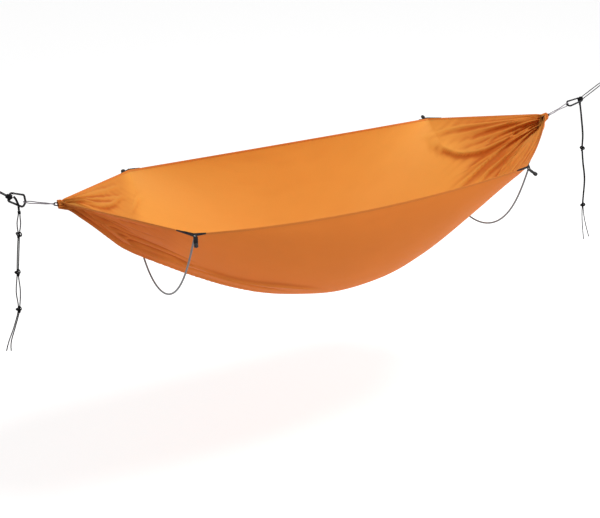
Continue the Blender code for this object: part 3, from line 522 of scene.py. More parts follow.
tail = {"stretch": 1.25, "wave": 0.002, "wavePeriod": 0.45, "step": 0.021,
        "route": {"left": ((0, 0), (-0.0063, -0.0400), (-0.0136, -0.0955), (-0.0270, -0.1767),
                           (-0.0396, -0.2569), (-0.0484, -0.3392), (-0.0564, -0.4224), (-0.0816, -0.4940),
                           (-0.1110, -0.5624), (-0.1214, -0.6027)),
                  "right": ((0, 0), (0.0174, -0.0686), (0.0374, -0.1666), (0.0408, -0.2421),
                            (0.0535, -0.3200), (0.0763, -0.4230), (0.0825, -0.5642), (0.0972, -0.6584),
                            (0.1242, -0.7595))},
        "knots": {"left": (0.097, 0.261, 0.427), "right": (0.247, 0.573)},  # along the route
        "bulge": {"left": (0.0045, 0.0003, 0.0057, 0.0070), "right": (0.0003, 0.0003, 0.0150)},
        "parting": {"left": 4.0, "right": 1.2},
        "knotSize": 0.0108, "knotDepth": 0.0056, "knotTurns": (0.3, 1.9, 4.0)}


def tailStrand(side, across):
    # Along the tail's route: bulging between knots, close together through each, parted at the free ends
    centre = [Vector(p) for p in smoothRoute([(x, 0, z) for x, z in tail["route"][side]], tail["step"])]
    last = len(centre) - 1
    step = (centre[1] - centre[0]).length
    knots = (0.0,) + tail["knots"][side]
    points = []
    for i, point in enumerate(centre):
        down = step * i
        stretch = sum(down > knot for knot in knots[1:])
        low = knots[stretch]
        if stretch + 1 < len(knots):
            spread = math.sin(math.pi * (down - low) / (knots[stretch + 1] - low)) ** 2
        else:
            spread = ((down - low) / (step * last - low)) ** tail["parting"][side]
        heading = (centre[min(i + 1, last)] - centre[max(i - 1, 0)]).normalized()
        apart = rope["diameter"] / 2 + rope["gap"] + tail["bulge"][side][stretch] * spread
        wave = tail["wave"] * math.sin(math.tau * down / tail["wavePeriod"])
        points.append(point + Vector((-heading.z, 0, heading.x)) * across * apart + Vector((0, wave, 0)))
    return points, step


def makeTail(side):
    place, body = Matrix.Translation(jointAt[f"{side}_tail_swing"]), f"{side}_tail"
    (near, step), (far, _) = tailStrand(side, -1), tailStrand(side, 1)
    knots = []
    for i, down in enumerate(tail["knots"][side]):
        k = int(down / step)
        spot, ahead = ((near[j] + far[j]) / 2 for j in (k, k + 1))
        at = place @ frameAt(spot.lerp(ahead, down / step - k), (1, 0, 0), spot - ahead)
        form = knotForm(tail["knotSize"], tail["knotDepth"], rope["diameter"] * 0.9, tail["knotTurns"][i], at,
                        tail["stretch"])
        knots.append(addPiece(f"{side}_tail_knot_{i + 1}", form, "rope", body=body))
    for name, strand, stands, held in (("outer", near, f"{side}_tail_cord", knots), ("inner", far, None, ())):
        route = [place @ Vector(point) for point in smoothRoute(strand, rope["step"])]
        addRope(f"{side}_tail_{name}_strand", route, stands, body)


for side in sides:
    makeTail(side)
print("tails made")


# Shapes turned, cut and laid out as a sheet

def roundedProfile(points, cut, closed=False, steps=4):
    # The same outline with each corner drawn round, cut metres from the corner at most
    points = [np.array(point, float) for point in points]
    count = len(points)
    outline = [] if closed else [points[0]]
    for i in range(count) if closed else range(1, count - 1):
        corner = points[i]
        arms = []
        for other in (points[i - 1], points[(i + 1) % count]):
            reach = np.linalg.norm(other - corner)
            arms.append(corner + (other - corner) / reach * min(cut, reach * 0.45))
        for t in np.linspace(0, 1, steps):
            outline.append((1 - t) ** 2 * arms[0] + 2 * t * (1 - t) * corner + t * t * arms[1])
    return outline if closed else outline + [points[-1]]


def turnedMesh(profile, steps, place, closed=False, sharpAngle=40):
    # A profile of (radius, height) turned round Z
    bm = bmesh.new()
    marks = [bm.verts.new((radius, 0, height)) for radius, height in profile]
    pairs = list(zip(marks, marks[1:])) + ([(marks[-1], marks[0])] if closed else [])
    edges = [bm.edges.new(pair) for pair in pairs]
    bmesh.ops.spin(bm, geom=marks + edges, cent=(0, 0, 0), axis=(0, 0, 1), angle=math.tau, steps=steps,
                   use_merge=True)
    bmesh.ops.remove_doubles(bm, verts=bm.verts[:], dist=1e-6)
    return meshFrom(bm, sharpAngle, place)


def drillMesh(radius, half, steps, place):
    return turnedMesh([(0, -half), (radius, -half), (radius, half), (0, half)], steps, place)


def blockMesh(size, offset, place=None):
    bm = bmesh.new()
    made = bmesh.ops.create_cube(bm, size=1.0)["verts"]
    bmesh.ops.scale(bm, vec=size, verts=made)
    bmesh.ops.translate(bm, vec=offset, verts=made)
    return meshFrom(bm, place=place)


def workedMesh(mesh, thickness=0.0, offset=0.0, cutters=(), bevel=0.0, sharpAngle=35, even=True):
    # A mesh given its thickness, then cut, then with its edges rounded
    worked = addObject("worked", mesh)
    tools = [addObject("cutter", cutter) for cutter in cutters]
    if thickness:
        wall = worked.modifiers.new("wall", "SOLIDIFY")
        wall.thickness, wall.offset, wall.use_even_offset = thickness, offset, even
    for tool in tools:
        cut = worked.modifiers.new("cut", "BOOLEAN")
        cut.operation, cut.solver, cut.object = "DIFFERENCE", "EXACT", tool
    if bevel:
        edge = worked.modifiers.new("edge", "BEVEL")
        edge.width, edge.segments, edge.limit_method, edge.angle_limit = bevel, 2, "ANGLE", math.radians(38)
    made = bpy.data.meshes.new_from_object(worked.evaluated_get(bpy.context.evaluated_depsgraph_get()))
    for thing in [worked] + tools:
        bpy.data.objects.remove(thing, do_unlink=True)
    made.shade_smooth()
    made.set_sharp_from_angle(angle=math.radians(sharpAngle))
    return made


def sheetMesh(points, flat):
    # A grid of faces laid through a table of places, its UV map the flat cloth in metres
    columns, lines = points.shape[0] - 1, points.shape[1] - 1
    bm = bmesh.new()
    bmesh.ops.create_grid(bm, x_segments=columns, y_segments=lines, size=0.5, calc_uvs=True)
    mesh = bpy.data.meshes.new("sheet")
    bm.to_mesh(mesh)
    bm.free()
    co = readAll(mesh.vertices, "co", 3)
    i, j = (np.rint((co[:, axis] + 0.5) * count).astype(int) for axis, count in ((0, columns), (1, lines)))
    writeAll(mesh.vertices, "co", points[i, j])
    if not mesh.uv_layers:
        mesh.uv_layers.new(name="UVMap")
    owner = readAll(mesh.loops, "vertex_index", kind=np.int32)[:, 0]
    writeAll(mesh.uv_layers[0].data, "uv", flat[i, j][owner])
    mesh.update()
    mesh.shade_smooth()
    return mesh


def stitchMesh(length, width, places):
    # One stitch, repeated at every place
    bm = bmesh.new()
    made = bmesh.ops.create_uvsphere(bm, u_segments=6, v_segments=5, radius=0.5)["verts"]
    bmesh.ops.rotate(bm, verts=made, cent=(0, 0, 0), matrix=Matrix.Rotation(math.pi / 2, 3, "Y"))
    bmesh.ops.scale(bm, verts=made, vec=(length, width, width * 0.8))
    stitch = meshFrom(bm, 60)
    bm = bmesh.new()
    for place in places:
        copy = stitch.copy()
        copy.transform(place)
        bm.from_mesh(copy)
        bpy.data.meshes.remove(copy)
    return meshFrom(bm, 60, recalc=False)


def stitchPlaces(line, outward, pitch):
    # Even steps along a line of places, each turned along it
    line, outward = np.array(line), np.array(outward)
    lengths = lengthsAlong(line)
    at = np.arange(pitch / 2, lengths[-1], pitch)
    spots, ahead, ups = (readOff(at + step, lengths, part)
                         for part, step in ((line, 0.0), (line, pitch * 0.3), (outward, 0.0)))
    return [frameAt(spot, heading, up) for spot, heading, up in zip(spots, ahead - spots, ups)
            if np.linalg.norm(heading) > 1e-5]


# The bed's cloth

bed = {"end": 1.2262, "halfSpacing": 0.800, "halfTips": 0.433, "keelDepth": 0.587, "keelReach": 1.195,
       "keelPower": 1.72, "sag": {"front": 0.050, "back": 0.002}, "tabReach": 0.0135,
       "sectionPower": (1.95, 1.15), "bunchRadius": 0.0142, "bunchOpening": 14, "bunchStart": (1.168, 1.190),
       "bunchFull": (1.223, 1.228), "pleat": 0.0092, "pleatEnd": (1.200, 0.0042), "pleats": 19,
       "pleatStarts": (0.74, 1.06), "pleatFull": 1.2, "foldDepth": 1.5, "thickness": 0.0005,
       "flatHem": 0.06,  # how far from the hem's edge the slack and the creases are at their full height
       "foldShadeDepth": 0.0018, "foldShade": 0.8,  # how deep a fold is when its painted shade is full, and how dark that painted shade is
       "endShade": {"left": (0.80, 0.88, 0.36, 0.36), "right": (0.80, 1.00, 0.0, 0.52)},  # painted shade towards the gathered ends: from, to, out, in
       "keelLift": {"left": (0.046, 0.96, 1.14), "right": (0.0, 1.00, 1.16)},  # how far, and between where
       "keelDrop": {"left": 0.0, "right": 0.013}, "dropOver": ((0, 0.3), (0.40, 0.62)),
       "hemBow": {"left": 0.0, "right": 0.018},
       "columns": (39, 44, 48), "closeFrom": 1.05,  # the columns stand closest from there on
       "lines": 188, "crowd": (0.37, 0.11, 1.1)}  # where they stand closer, over which share, how much
pole = {"length": 1.270, "tilt": {"left": 5, "right": 3}, "tube": 0.0080, "wall": 0.0006, "sections": 4,
        "gap": 0.0007, "flangeEnd": 0.0085, "plugEnd": 0.0240, "elastic": 0.0026, "elasticGap": 0.0005,
        "play": 0.0003}


def summed(values):
    return np.concatenate([[0], np.cumsum((values[1:] + values[:-1]) / 2)])


def bowShape(tipSlope, steps=240):
    slope = tipSlope * np.sin(np.pi * np.linspace(-0.5, 0.5, steps + 1))
    return [summed(part) / steps for part in (np.cos(slope), np.sin(slope))]


def bowTipSlope():
    low, high = 0.1, 2.2
    for _ in range(50):
        half = (low + high) / 2
        if bowShape(half)[0][-1] * pole["length"] > 2 * bed["halfTips"]:
            low = half
        else:
            high = half
    return low


tipSlope = bowTipSlope()
bowRun, bowDrop = (pole["length"] * part for part in bowShape(tipSlope))


def rimPoint(x, row):
    # The hem's edge: straight to each gathered end, sagging between the poles
    reach = abs(x)
    inward, rise = bed["tabReach"] * math.sin(tipSlope), bed["tabReach"] * math.cos(tipSlope)
    if reach <= bed["halfSpacing"]:
        y = bed["halfTips"] - inward
        z = rise - bed["sag"][row] * (1 - (reach / bed["halfSpacing"]) ** 2)
    else:
        share = (reach - bed["halfSpacing"]) / (gather["reach"] - bed["halfSpacing"])
        y = (bed["halfTips"] - inward) * (1 - share)
        z = rise * (1 - share) + (gather["rise"] + bed["bunchRadius"]) * share
        if row == "front":
            bow = bed["hemBow"]["left" if x < 0 else "right"] * math.sin(math.pi * share)
            y, z = y + bow, z - bow / 2
    return rows[row] * y, z


def gatherShare(reach, shares):
    # The keel draws together first, the two hems last
    edge = np.abs(2 * np.asarray(shares) - 1) ** 1.5
    low, high = (between(*bed[part], edge) for part in ("bunchStart", "bunchFull"))
    return smoothShare((reach - low) / (high - low), 0, 1)


def clothBase(x):
    # The smooth section at x: shares, y, z, and its length
    reach, side = abs(x), "left" if x < 0 else "right"
    (frontY, frontZ), (backY, backZ) = rimPoint(x, "front"), rimPoint(x, "back")
    keel = -bed["keelDepth"] * (1 - (reach / bed["keelReach"]) ** bed["keelPower"])
    lift, low, high = bed["keelLift"][side]
    keel += lift * float(smoothShare(reach, low, high))
    entry, leave = bed["dropOver"]
    keel -= bed["keelDrop"][side] * float(smoothShare(reach, *entry) * (1 - smoothShare(reach, *leave)))
    power = between(*bed["sectionPower"], min(1.0, (reach / bed["halfSpacing"]) ** 2))
    turn = np.linspace(0, np.pi, 241)
    across = -np.sign(np.cos(turn)) * np.abs(np.cos(turn)) ** (2 / power)
    down = np.abs(np.sin(turn)) ** (2 / power)
    y = np.where(across < 0, -across * frontY, across * backY)
    z = (frontZ + (backZ - frontZ) * (across + 1) / 2) * (1 - down) + keel * down
    lengths = np.concatenate([[0], np.cumsum(np.hypot(np.diff(y), np.diff(z)))])
    shares = np.linspace(0, 1, len(turn))
    openY, openZ = (np.interp(shares * lengths[-1], lengths, part) for part in (y, z))
    angle = (shares - 0.5) * (2 * np.pi - math.radians(bed["bunchOpening"]))
    level = gather["rise"] - (gather["reach"] - reach) * math.tan(lineSlope[side])
    gathered = gatherShare(reach, shares)
    y = (1 - gathered) * openY + gathered * bed["bunchRadius"] * np.sin(angle)
    z = (1 - gathered) * openZ + gathered * (level - bed["bunchRadius"] * np.cos(angle))
    return shares, y, z, float(np.hypot(np.diff(y), np.diff(z)).sum())


widthPlaces = np.linspace(-bed["end"], bed["end"], 240)
widthTable = np.array([clothBase(x)[3] for x in widthPlaces])


def flatWidth(x):
    return np.interp(x, widthPlaces, widthTable)


# Creases: where each runs, in millimetres from the middle and thousandths of the way across, how far it
# lifts inwards and how wide it is above and below, in millimetres, and its shares that fade in and out
drawnCreases = {
    "left": {
        "front hem": ((1200, 30, 1120, 70, 1045, 65, 970, 55, 860, 40), 6, 8, 14, 0.0, 0.5),
        "front hollow": ((1200, 250, 1095, 260, 1018, 223, 920, 230, 780, 200), 10, 30, 26, 0.1, 0.6),
        "upper band": ((1200, 400, 1140, 330, 1075, 265, 1028, 297, 990, 320, 925, 366, 830, 355, 733, 310,
            575, 305, 490, 297, 360, 285, 208, 302, 120, 333, 0, 380), -10, 20, 10, 0.05, 0.35),
        "lower band": ((1200, 460, 1088, 405, 1045, 432, 980, 445, 910, 422, 818, 415, 710, 372, 605, 352,
            470, 350, 363, 340, 200, 360), 9, 7, 12, 0.05, 0.35),
        "keel": ((1200, 520, 1000, 495, 800, 475, 600, 425, 400, 400, 150, 410), -10, 14, 18, 0.05, 0.4),
        "long line": ((1190, 385, 1100, 350, 1000, 330, 860, 315, 720, 310, 550, 325), 8, 6, 12, 0.05, 0.3),
        "middle line": ((1190, 320, 1100, 290, 1000, 270, 860, 260, 700, 265), 7, 6, 12, 0.05, 0.3),
        "short line": ((1190, 200, 1100, 175, 1000, 155, 900, 140), 6, 6, 12, 0.05, 0.4),
        "under": ((1200, 580, 1000, 560, 800, 540, 600, 510, 300, 480), 9, 10, 16, 0.05, 0.5),
        "inner hem": ((1205, 900, 1173, 905, 1115, 942, 1065, 945, 1000, 945, 928, 938), 8, 14, 7, 0.0,
            0.5),
        "inner high": ((1062, 927, 958, 932, 850, 940), 5, 16, 8, 0.3, 0.5),
        "inner hook": ((1170, 800, 1143, 820, 1080, 845, 1060, 823, 1030, 800), 7, 10, 6, 0.1, 0.4),
        "inner bend": ((1150, 770, 1075, 795, 1022, 800, 978, 815, 933, 845, 900, 870, 868, 890), 10, 30, 6,
            0.2, 0.35),
        "inner light": ((875, 765, 858, 792, 835, 820, 805, 855, 760, 890), 3.5, 8, 6, 0.4, 0.4),
        "inner low": ((1190, 700, 1080, 700, 970, 720, 860, 740), 6, 16, 8, 0.1, 0.6),
        "inner floor": ((1190, 630, 1000, 630, 820, 650), 8, 20, 14, 0.1, 0.6),
    },
    "right": {
        "pocket": ((760, 975, 765, 930, 777, 863, 792, 830, 815, 797, 840, 765, 880, 740, 945, 717, 993,
            715, 1058, 723, 1107, 765, 1147, 810, 1200, 850), 15, 60, 6, 0.3, 0.05),
        "pocket fold": ((900, 755, 942, 763, 1007, 780, 1078, 795, 1130, 825, 1200, 860), 9, 18, 7, 0.4,
            0.05),
        "upper fold": ((900, 885, 955, 888, 1022, 868, 1078, 880, 1130, 902, 1200, 930), 8, 14, 7, 0.5,
            0.05),
        "long fold": ((700, 575, 780, 594, 835, 600, 917, 623, 975, 642, 1045, 655, 1105, 665, 1157, 730,
            1200, 800), 15, 16, 9, 0.35, 0.05),
        "second fold": ((820, 530, 875, 547, 925, 563, 1010, 568, 1070, 580, 1120, 600, 1180, 675), 13, 16,
            9, 0.35, 0.05),
        "third fold": ((880, 430, 927, 448, 998, 500, 1045, 522, 1103, 535, 1163, 570, 1200, 600), 12, 16,
            10, 0.35, 0.05),
        "fourth fold": ((950, 360, 1000, 400, 1060, 430, 1120, 450, 1190, 500), 10, 14, 10, 0.35, 0.05),
        "hollow": ((800, 640, 920, 675, 1020, 690, 1120, 740), -8, 18, 16, 0.4, 0.1),
        "front fold": ((900, 220, 1000, 240, 1100, 270, 1190, 330), -8, 16, 16, 0.5, 0.05),
        "front hem": ((880, 50, 970, 65, 1070, 80, 1150, 100, 1200, 130), -6, 12, 14, 0.5, 0.05),
        "keel": ((350, 470, 600, 475, 800, 485, 1000, 500, 1190, 520), -8, 20, 18, 0.5, 0.05),
    }
}
creases = [([(sides[side] * x / 1000, share / 1000) for x, share in zip(places[::2], places[1::2])],
            *(size / 1000 for size in sizes), fadeIn, fadeOut)
           for side, drawn in drawnCreases.items() for places, *sizes, fadeIn, fadeOut in drawn.values()]


def creaseHeight(flat, marks, lift, above, below, fadeIn, fadeOut, crisp=0.0012, step=0.016):
    lifted = np.zeros(flat.shape[:-1])
    marks = [(x, (share - 0.5) * float(flatWidth(x)), 0) for x, share in marks]
    route = smoothRoute(marks, step)[:, :2]
    reach = 5 * max(above, below)
    near = np.all((flat > route.min(axis=0) - reach) & (flat < route.max(axis=0) + reach), axis=-1)
    spots = flat[near]
    start, run = route[:-1], np.diff(route, axis=0)
    offset = spots[:, None, :] - start[None]
    t = np.clip((offset * run).sum(axis=2) / (run * run).sum(axis=1), 0, 1)
    gap = offset - t[..., None] * run
    distance = np.hypot(gap[..., 0], gap[..., 1])
    nearest = distance.argmin(axis=1)
    pick = np.arange(len(spots)), nearest
    side = run[nearest, 0] * gap[pick][:, 1] - run[nearest, 1] * gap[pick][:, 0]
    side *= np.sign(marks[-1][0] - marks[0][0])
    width = np.where(side > 0, above, below)
    along = (nearest + t[pick]) / len(run)
    fade = smoothShare(along, 0, max(fadeIn, 1e-6)) * (1 - smoothShare(along, 1 - max(fadeOut, 1e-6), 1))
    d = distance[pick]
    lifted[near] = lift * fade * np.exp(-(np.sqrt(d * d + crisp * crisp) - crisp) / width)
    return lifted


randomDraw = np.random.default_rng(11)
ridges = {}
for side in sides:
    jitter = randomDraw.uniform(-0.24, 0.24, bed["pleats"])
    starts = randomDraw.uniform(*bed["pleatStarts"], bed["pleats"])
    ridges[side] = (np.arange(bed["pleats"]) + 0.5 + jitter) / bed["pleats"], starts

# Sharp folds that fan out from each gathered end, between those drawn above
fan = {"end": 1.21, "wander": 0.012, "form": (0.013, 0.006, 0.5, 0.05),  # as the last four of a drawn crease
       "left": {"count": 8, "starts": (0.86, 1.04), "lift": (0.003, 0.007), "from": 0.04, "to": 0.62},
       "right": {"count": 12, "starts": (0.66, 1.00), "lift": (0.005, 0.010), "from": 0.06, "to": 0.95}}
for side, sign in sides.items():
    folds = fan[side]
    for i in range(folds["count"]):
        share = between(folds["from"], folds["to"], (i + randomDraw.uniform(0.2, 0.8)) / folds["count"])
        start, lift = (randomDraw.uniform(*folds[part]) for part in ("starts", "lift"))
        turns = [*randomDraw.uniform(-fan["wander"], fan["wander"], 3), 0]
        marks = [(sign * between(start, fan["end"], t), share + turn)
                 for t, turn in zip((0, 0.35, 0.7, 1), turns)]
        creases.append((marks, lift * (1 if i % 3 else -1), *fan["form"]))


def pleatHeight(x, shares):
    # Irregular pleats at the gathered ends, each running out into the bed as far as it will
    shareOfRidge, starts = ridges["left" if x < 0 else "right"]
    count = len(starts)
    phase = np.interp(shares, [0, *shareOfRidge, 1], [-0.5, *range(count), count - 0.5])
    start = np.interp(phase, np.arange(count), starts)
    wave = 0.4 * np.cos(math.tau * phase) + 0.6 * (1 - 2 * np.abs(np.sin(math.pi * phase)))
    endStart, endHeight = bed["pleatEnd"]
    high = between(bed["pleat"], endHeight, float(smoothShare(abs(x), endStart, bed["end"])))
    return high * wave * smoothShare((abs(x) - start) / (bed["pleatFull"] - start), 0, 1) ** 1.1


# Slack in the cloth: how high its waves are, how close they stand along and across, and their seed
slackWaves = {"soft": (0.0026, 2.6, 3.4, 1.7), "small": (0.0008, 9, 12, 5.1), "streak": (0.0030, 5, 42, 9.3)}
streaksFrom = (0.70, 1.05)  # the streaks run with the pleats, near the ends only


def ripple(flat):
    spots = flat.reshape(-1, 2)
    soft, small, streak = (high * np.array([noise.noise(Vector((x * along, y * across, seed)))
                                            for x, y in spots])
                           for high, along, across, seed in slackWaves.values())
    height = soft + small + streak * smoothShare(np.abs(spots[:, 0]), *streaksFrom)
    return height.reshape(flat.shape[:-1])


def clothSurface(xs, shares):
    # Places on the finished cloth, its inward directions, flat places and folds, one row of shares for each x
    points, inward = np.zeros((*shares.shape, 3)), np.zeros((*shares.shape, 3))
    flat, height, loose = np.zeros((*shares.shape, 2)), np.zeros(shares.shape), np.zeros(shares.shape)
    for i, (x, share) in enumerate(zip(xs, shares)):
        fine, y, z, width = clothBase(x)
        tangentY, tangentZ = np.gradient(y), np.gradient(z)
        size = np.hypot(tangentY, tangentZ)
        points[i, :, 0] = flat[i, :, 0] = x
        for target, axis, part in ((points, 1, y), (points, 2, z), (inward, 1, -tangentZ / size),
                                   (inward, 2, tangentY / size)):
            target[i, :, axis] = np.interp(share, fine, part)
        flat[i, :, 1] = (share - 0.5) * width
        gathered = gatherShare(abs(x), share)
        edge = np.minimum(share, 1 - share)
        loose[i] = (1 - gathered) * smoothShare(edge * width, 0, bed["flatHem"])
        height[i] = pleatHeight(x, share) * np.minimum(1, 6 * edge + gathered)
    slack = ripple(flat)
    for crease in creases:
        slack += bed["foldDepth"] * creaseHeight(flat, *crease)
    height += loose * slack
    return points + inward * height[..., None], inward, flat, height


def crowded(count, where, spread, extra):
    # Even steps from 0 to 1 that stand closer round one place
    t = np.linspace(0, 1, 2000)
    total = summed(1 + extra * np.exp(-(((t - where) / spread) ** 2)))
    return np.interp(np.linspace(0, total[-1], count + 1), total, t)


def clothColumns():
    marks = (0, bed["halfSpacing"], bed["closeFrom"], bed["end"])
    half = np.concatenate([[0]] + [np.linspace(low, high, count + 1)[1:]
                                   for low, high, count in zip(marks, marks[1:], bed["columns"])])
    return np.concatenate([-half[:0:-1], half])


def fromHem(row, share):
    return share if row == "front" else 1 - share


hem = {"width": 0.010, "thickness": 0.0014, "bevel": 0.0004, "lip": 0.0012, "narrowest": 0.10,
       "stitchIn": 0.0078, "stitchEnd": 1.17, "stitch": (0.0030, 0.00055), "pitch": 0.0042}
casing = {"reach": 0.012, "over": 0.0008, "thickness": 0.0009}


def markFaces(mesh, columns, height):
    # The wall's two faces, one after the other in its points, are marked for the finish: which is the inner
    # one, and its painted shade, darker where a place lies deep in a fold and towards the gathered ends
    kernel = np.hanning(11) / np.hanning(11).sum()
    even = np.array([np.convolve(np.pad(line, len(kernel) // 2, "edge"), kernel, "valid") for line in height])
    hollow = np.clip((even - height) / bed["foldShadeDepth"], -1, 1)
    # painted shade towards the gathered ends, for each face
    tone = np.zeros((2, *height.shape))
    for side, sign in sides.items():
        low, high, *most = bed["endShade"][side]
        for face in (0, 1):
            tone[face] += most[face] * smoothShare(columns * sign, low, high)[:, None]
    half = height.size
    lowest = min(range(half), key=lambda k: mesh.vertices[k].co.z)
    faces = (1, 0) if mesh.vertices[lowest].co.z > mesh.vertices[lowest + half].co.z else (0, 1)
    # painted shade in the fold hollows on the face where they are hollow, plus the ends' painted shade
    paintedShadePerFace = [bed["foldShade"] * np.maximum(hollow * (2 * face - 1), 0) + tone[face] for face in faces]
    paintedShade = np.concatenate([np.clip(part, 0, 1).T.ravel() for part in paintedShadePerFace])
    for name, values in (("inside", np.repeat(faces, half)), ("paintedShade", paintedShade)):
        writeAll(mesh.attributes.new(name, "FLOAT", "POINT").data, "value", values)


def sewnMesh(points, uv, thickness, bevel=0.0, sharpAngle=35):
    mesh = sheetMesh(points, uv)
    mesh.transform(toWorld)
    return workedMesh(mesh, thickness, bevel=bevel, sharpAngle=sharpAngle, even=False)


def addStitching(name, seams, sewing, finish):
    # Seams are lines of places in the world, each with its outward directions
    places = [place for seam in seams for place in stitchPlaces(*seam, sewing["pitch"])]
    return addPiece(name, stitchMesh(*sewing["stitch"], places), finish)


def makeBed():
    columns = clothColumns()
    shares = crowded(bed["lines"], *bed["crowd"])
    points, _, flat, height = clothSurface(columns, np.tile(shares, (len(columns), 1)))
    mesh = sewnMesh(points, flat, bed["thickness"], sharpAngle=75)
    markFaces(mesh, columns, height)
    cloth = addPiece("bed_cloth", mesh, "cloth", "bed_fabric")
    for row in rows:
        down = np.linspace(-hem["lip"], hem["width"], 6)
        widths = np.maximum(flatWidth(columns), hem["narrowest"])[:, None]
        share = np.clip(fromHem(row, down[None, :] / widths), 0, 1)
        points, _, flat, _ = clothSurface(columns, share)
        points[:, 0] = points[:, 1] + unitOf(points[:, 1] - points[:, 2]) * hem["lip"]
        uv = np.stack([flat[..., 0], np.tile(down, (len(columns), 1))], -1)
        addPiece(f"{row}_hem", sewnMesh(points, uv, hem["thickness"], hem["bevel"]), "hem")
        sewn = np.abs(columns) < hem["stitchEnd"]
        line, inward, _, _ = clothSurface(columns[sewn], fromHem(row, hem["stitchIn"] / widths[sewn]))
        faces = [inward[:, 0] * face for face in (-1, 1)]
        seams = [(line[:, 0] + face * hem["thickness"] / 2 + np.array(middle), face) for face in faces]
        addStitching(f"{row}_hem_stitching", seams, hem, "orange thread")
    for side, sign in sides.items():
        xs = np.linspace(bed["end"] - casing["reach"], bed["end"] + casing["over"], 11) * sign
        points, _, flat, _ = clothSurface(xs, np.tile(np.linspace(0, 1, 221), (len(xs), 1)))
        sleeve = sewnMesh(points, flat, casing["thickness"], hem["bevel"])
        addPiece(f"{side}_casing", sleeve, "hem")


makeBed()
print("bed cloth made")


# The poles

def bowPoint(distance):
    # In the pole's own frame: Y from the front tip to the back one, Z up
    at = np.linspace(0, pole["length"], len(bowRun))
    run, drop = (float(np.interp(distance, at, part)) for part in (bowRun, bowDrop))
    return (0.0, run - bed["halfTips"], drop)


def bowRoute(start, end, count):
    return [bowPoint(at) for at in np.linspace(start, end, count)]


def tipDirection(row):
    return Vector((0, rows[row] * math.cos(tipSlope), math.sin(tipSlope)))


def makePole(side):
    turn = Matrix.Rotation(-sides[side] * math.radians(pole["tilt"][side]), 4, "Y")
    place, body = Matrix.Translation(jointAt[f"{side}_pole_swing"]) @ turn, f"{side}_pole"
    length = (pole["length"] - 2 * pole["flangeEnd"]) / pole["sections"]
    for i in range(pole["sections"]):
        start, end = (pole["flangeEnd"] + (i + whole) * length + gap
                      for whole, gap in ((0, pole["gap"] / 2), (1, -pole["gap"] / 2)))
        tube = tubeMesh(bowRoute(start, end, 41), pole["tube"], 28, place=place, openEnds=True)
        addPiece(f"{side}_pole_tube_{i + 1}", workedMesh(tube, pole["wall"], -1.0), "tube",
                 f"{side}_pole_section_{i + 1}", body)
    ends = pole["plugEnd"] + pole["elasticGap"]
    cord = tubeMesh(bowRoute(ends, pole["length"] - ends, 121), pole["elastic"], 12, place=place)
    addPiece(f"{side}_pole_elastic", cord, "elastic", f"{side}_pole_shock_cord", body)
    plug = pole["tube"] / 2 - pole["wall"] - pole["play"]
    profile = [(0, 0.0070), (0.0009, 0.0070), (0.0015, 0.0062), (0.0015, -0.0026), (0.0038, -0.0043),
               (0.0040, -0.0046), (0.0040, -0.0081), (plug, -0.0082), (plug, -0.0236),
               (plug - 0.0006, -pole["plugEnd"]), (0, -pole["plugEnd"])]
    for row in rows:
        seat = place @ Matrix.Translation((0, rows[row] * bed["halfTips"], 0)) @ facing(tipDirection(row))
        addPiece(f"{row}_{side}_tip", turnedMesh(roundedProfile(profile, 0.0006), 32, seat), "plastic",
                 f"{row}_{side}_pole_tip", body)


for side in sides:
    makePole(side)
print("poles made")


# The corners: tabs, eyelets, pull straps and toggles

corner = {"leg": 0.052, "height": (0.018, 0.006), "over": (0.0055, 0.0020), "clear": 0.0014,
          "thickness": 0.0009, "tongue": 0.020, "neck": 0.92, "bow": 0.0009, "play": 0.0006,
          "root": 3.0,  # how much wider the tongue is where it leaves the hem
          "nose": 0.0085, "flange": 0.0112, "barrel": 0.0062, "bore": 0.0049, "eyelet": 0.0020, "gap": 0.0003,
          "seams": (0.16, 0.84),  # at these shares of the webbing's height
          "strapWidth": 0.0190, "strapThickness": 0.0014, "strapInto": 0.004, "strapWaves": (0.0006, 0.0003),
          "strapNarrows": (0.22, 0.06, 0.80),  # at the toggle, at the tab, over the share past this one
          "toggle": (0.0088, 0.0185), "taper": 0.40,
          "strapLength": {"front_left": 0.022, "front_right": 0.032, "back_left": 0.034, "back_right": 0.014},
          "droop": {"front_left": 88, "front_right": 8, "back_left": 20, "back_right": -10},
          "turn": {"front_left": 0, "front_right": 0, "back_left": 15, "back_right": 0},
          "stitch": (0.0019, 0.0005), "pitch": 0.0026}


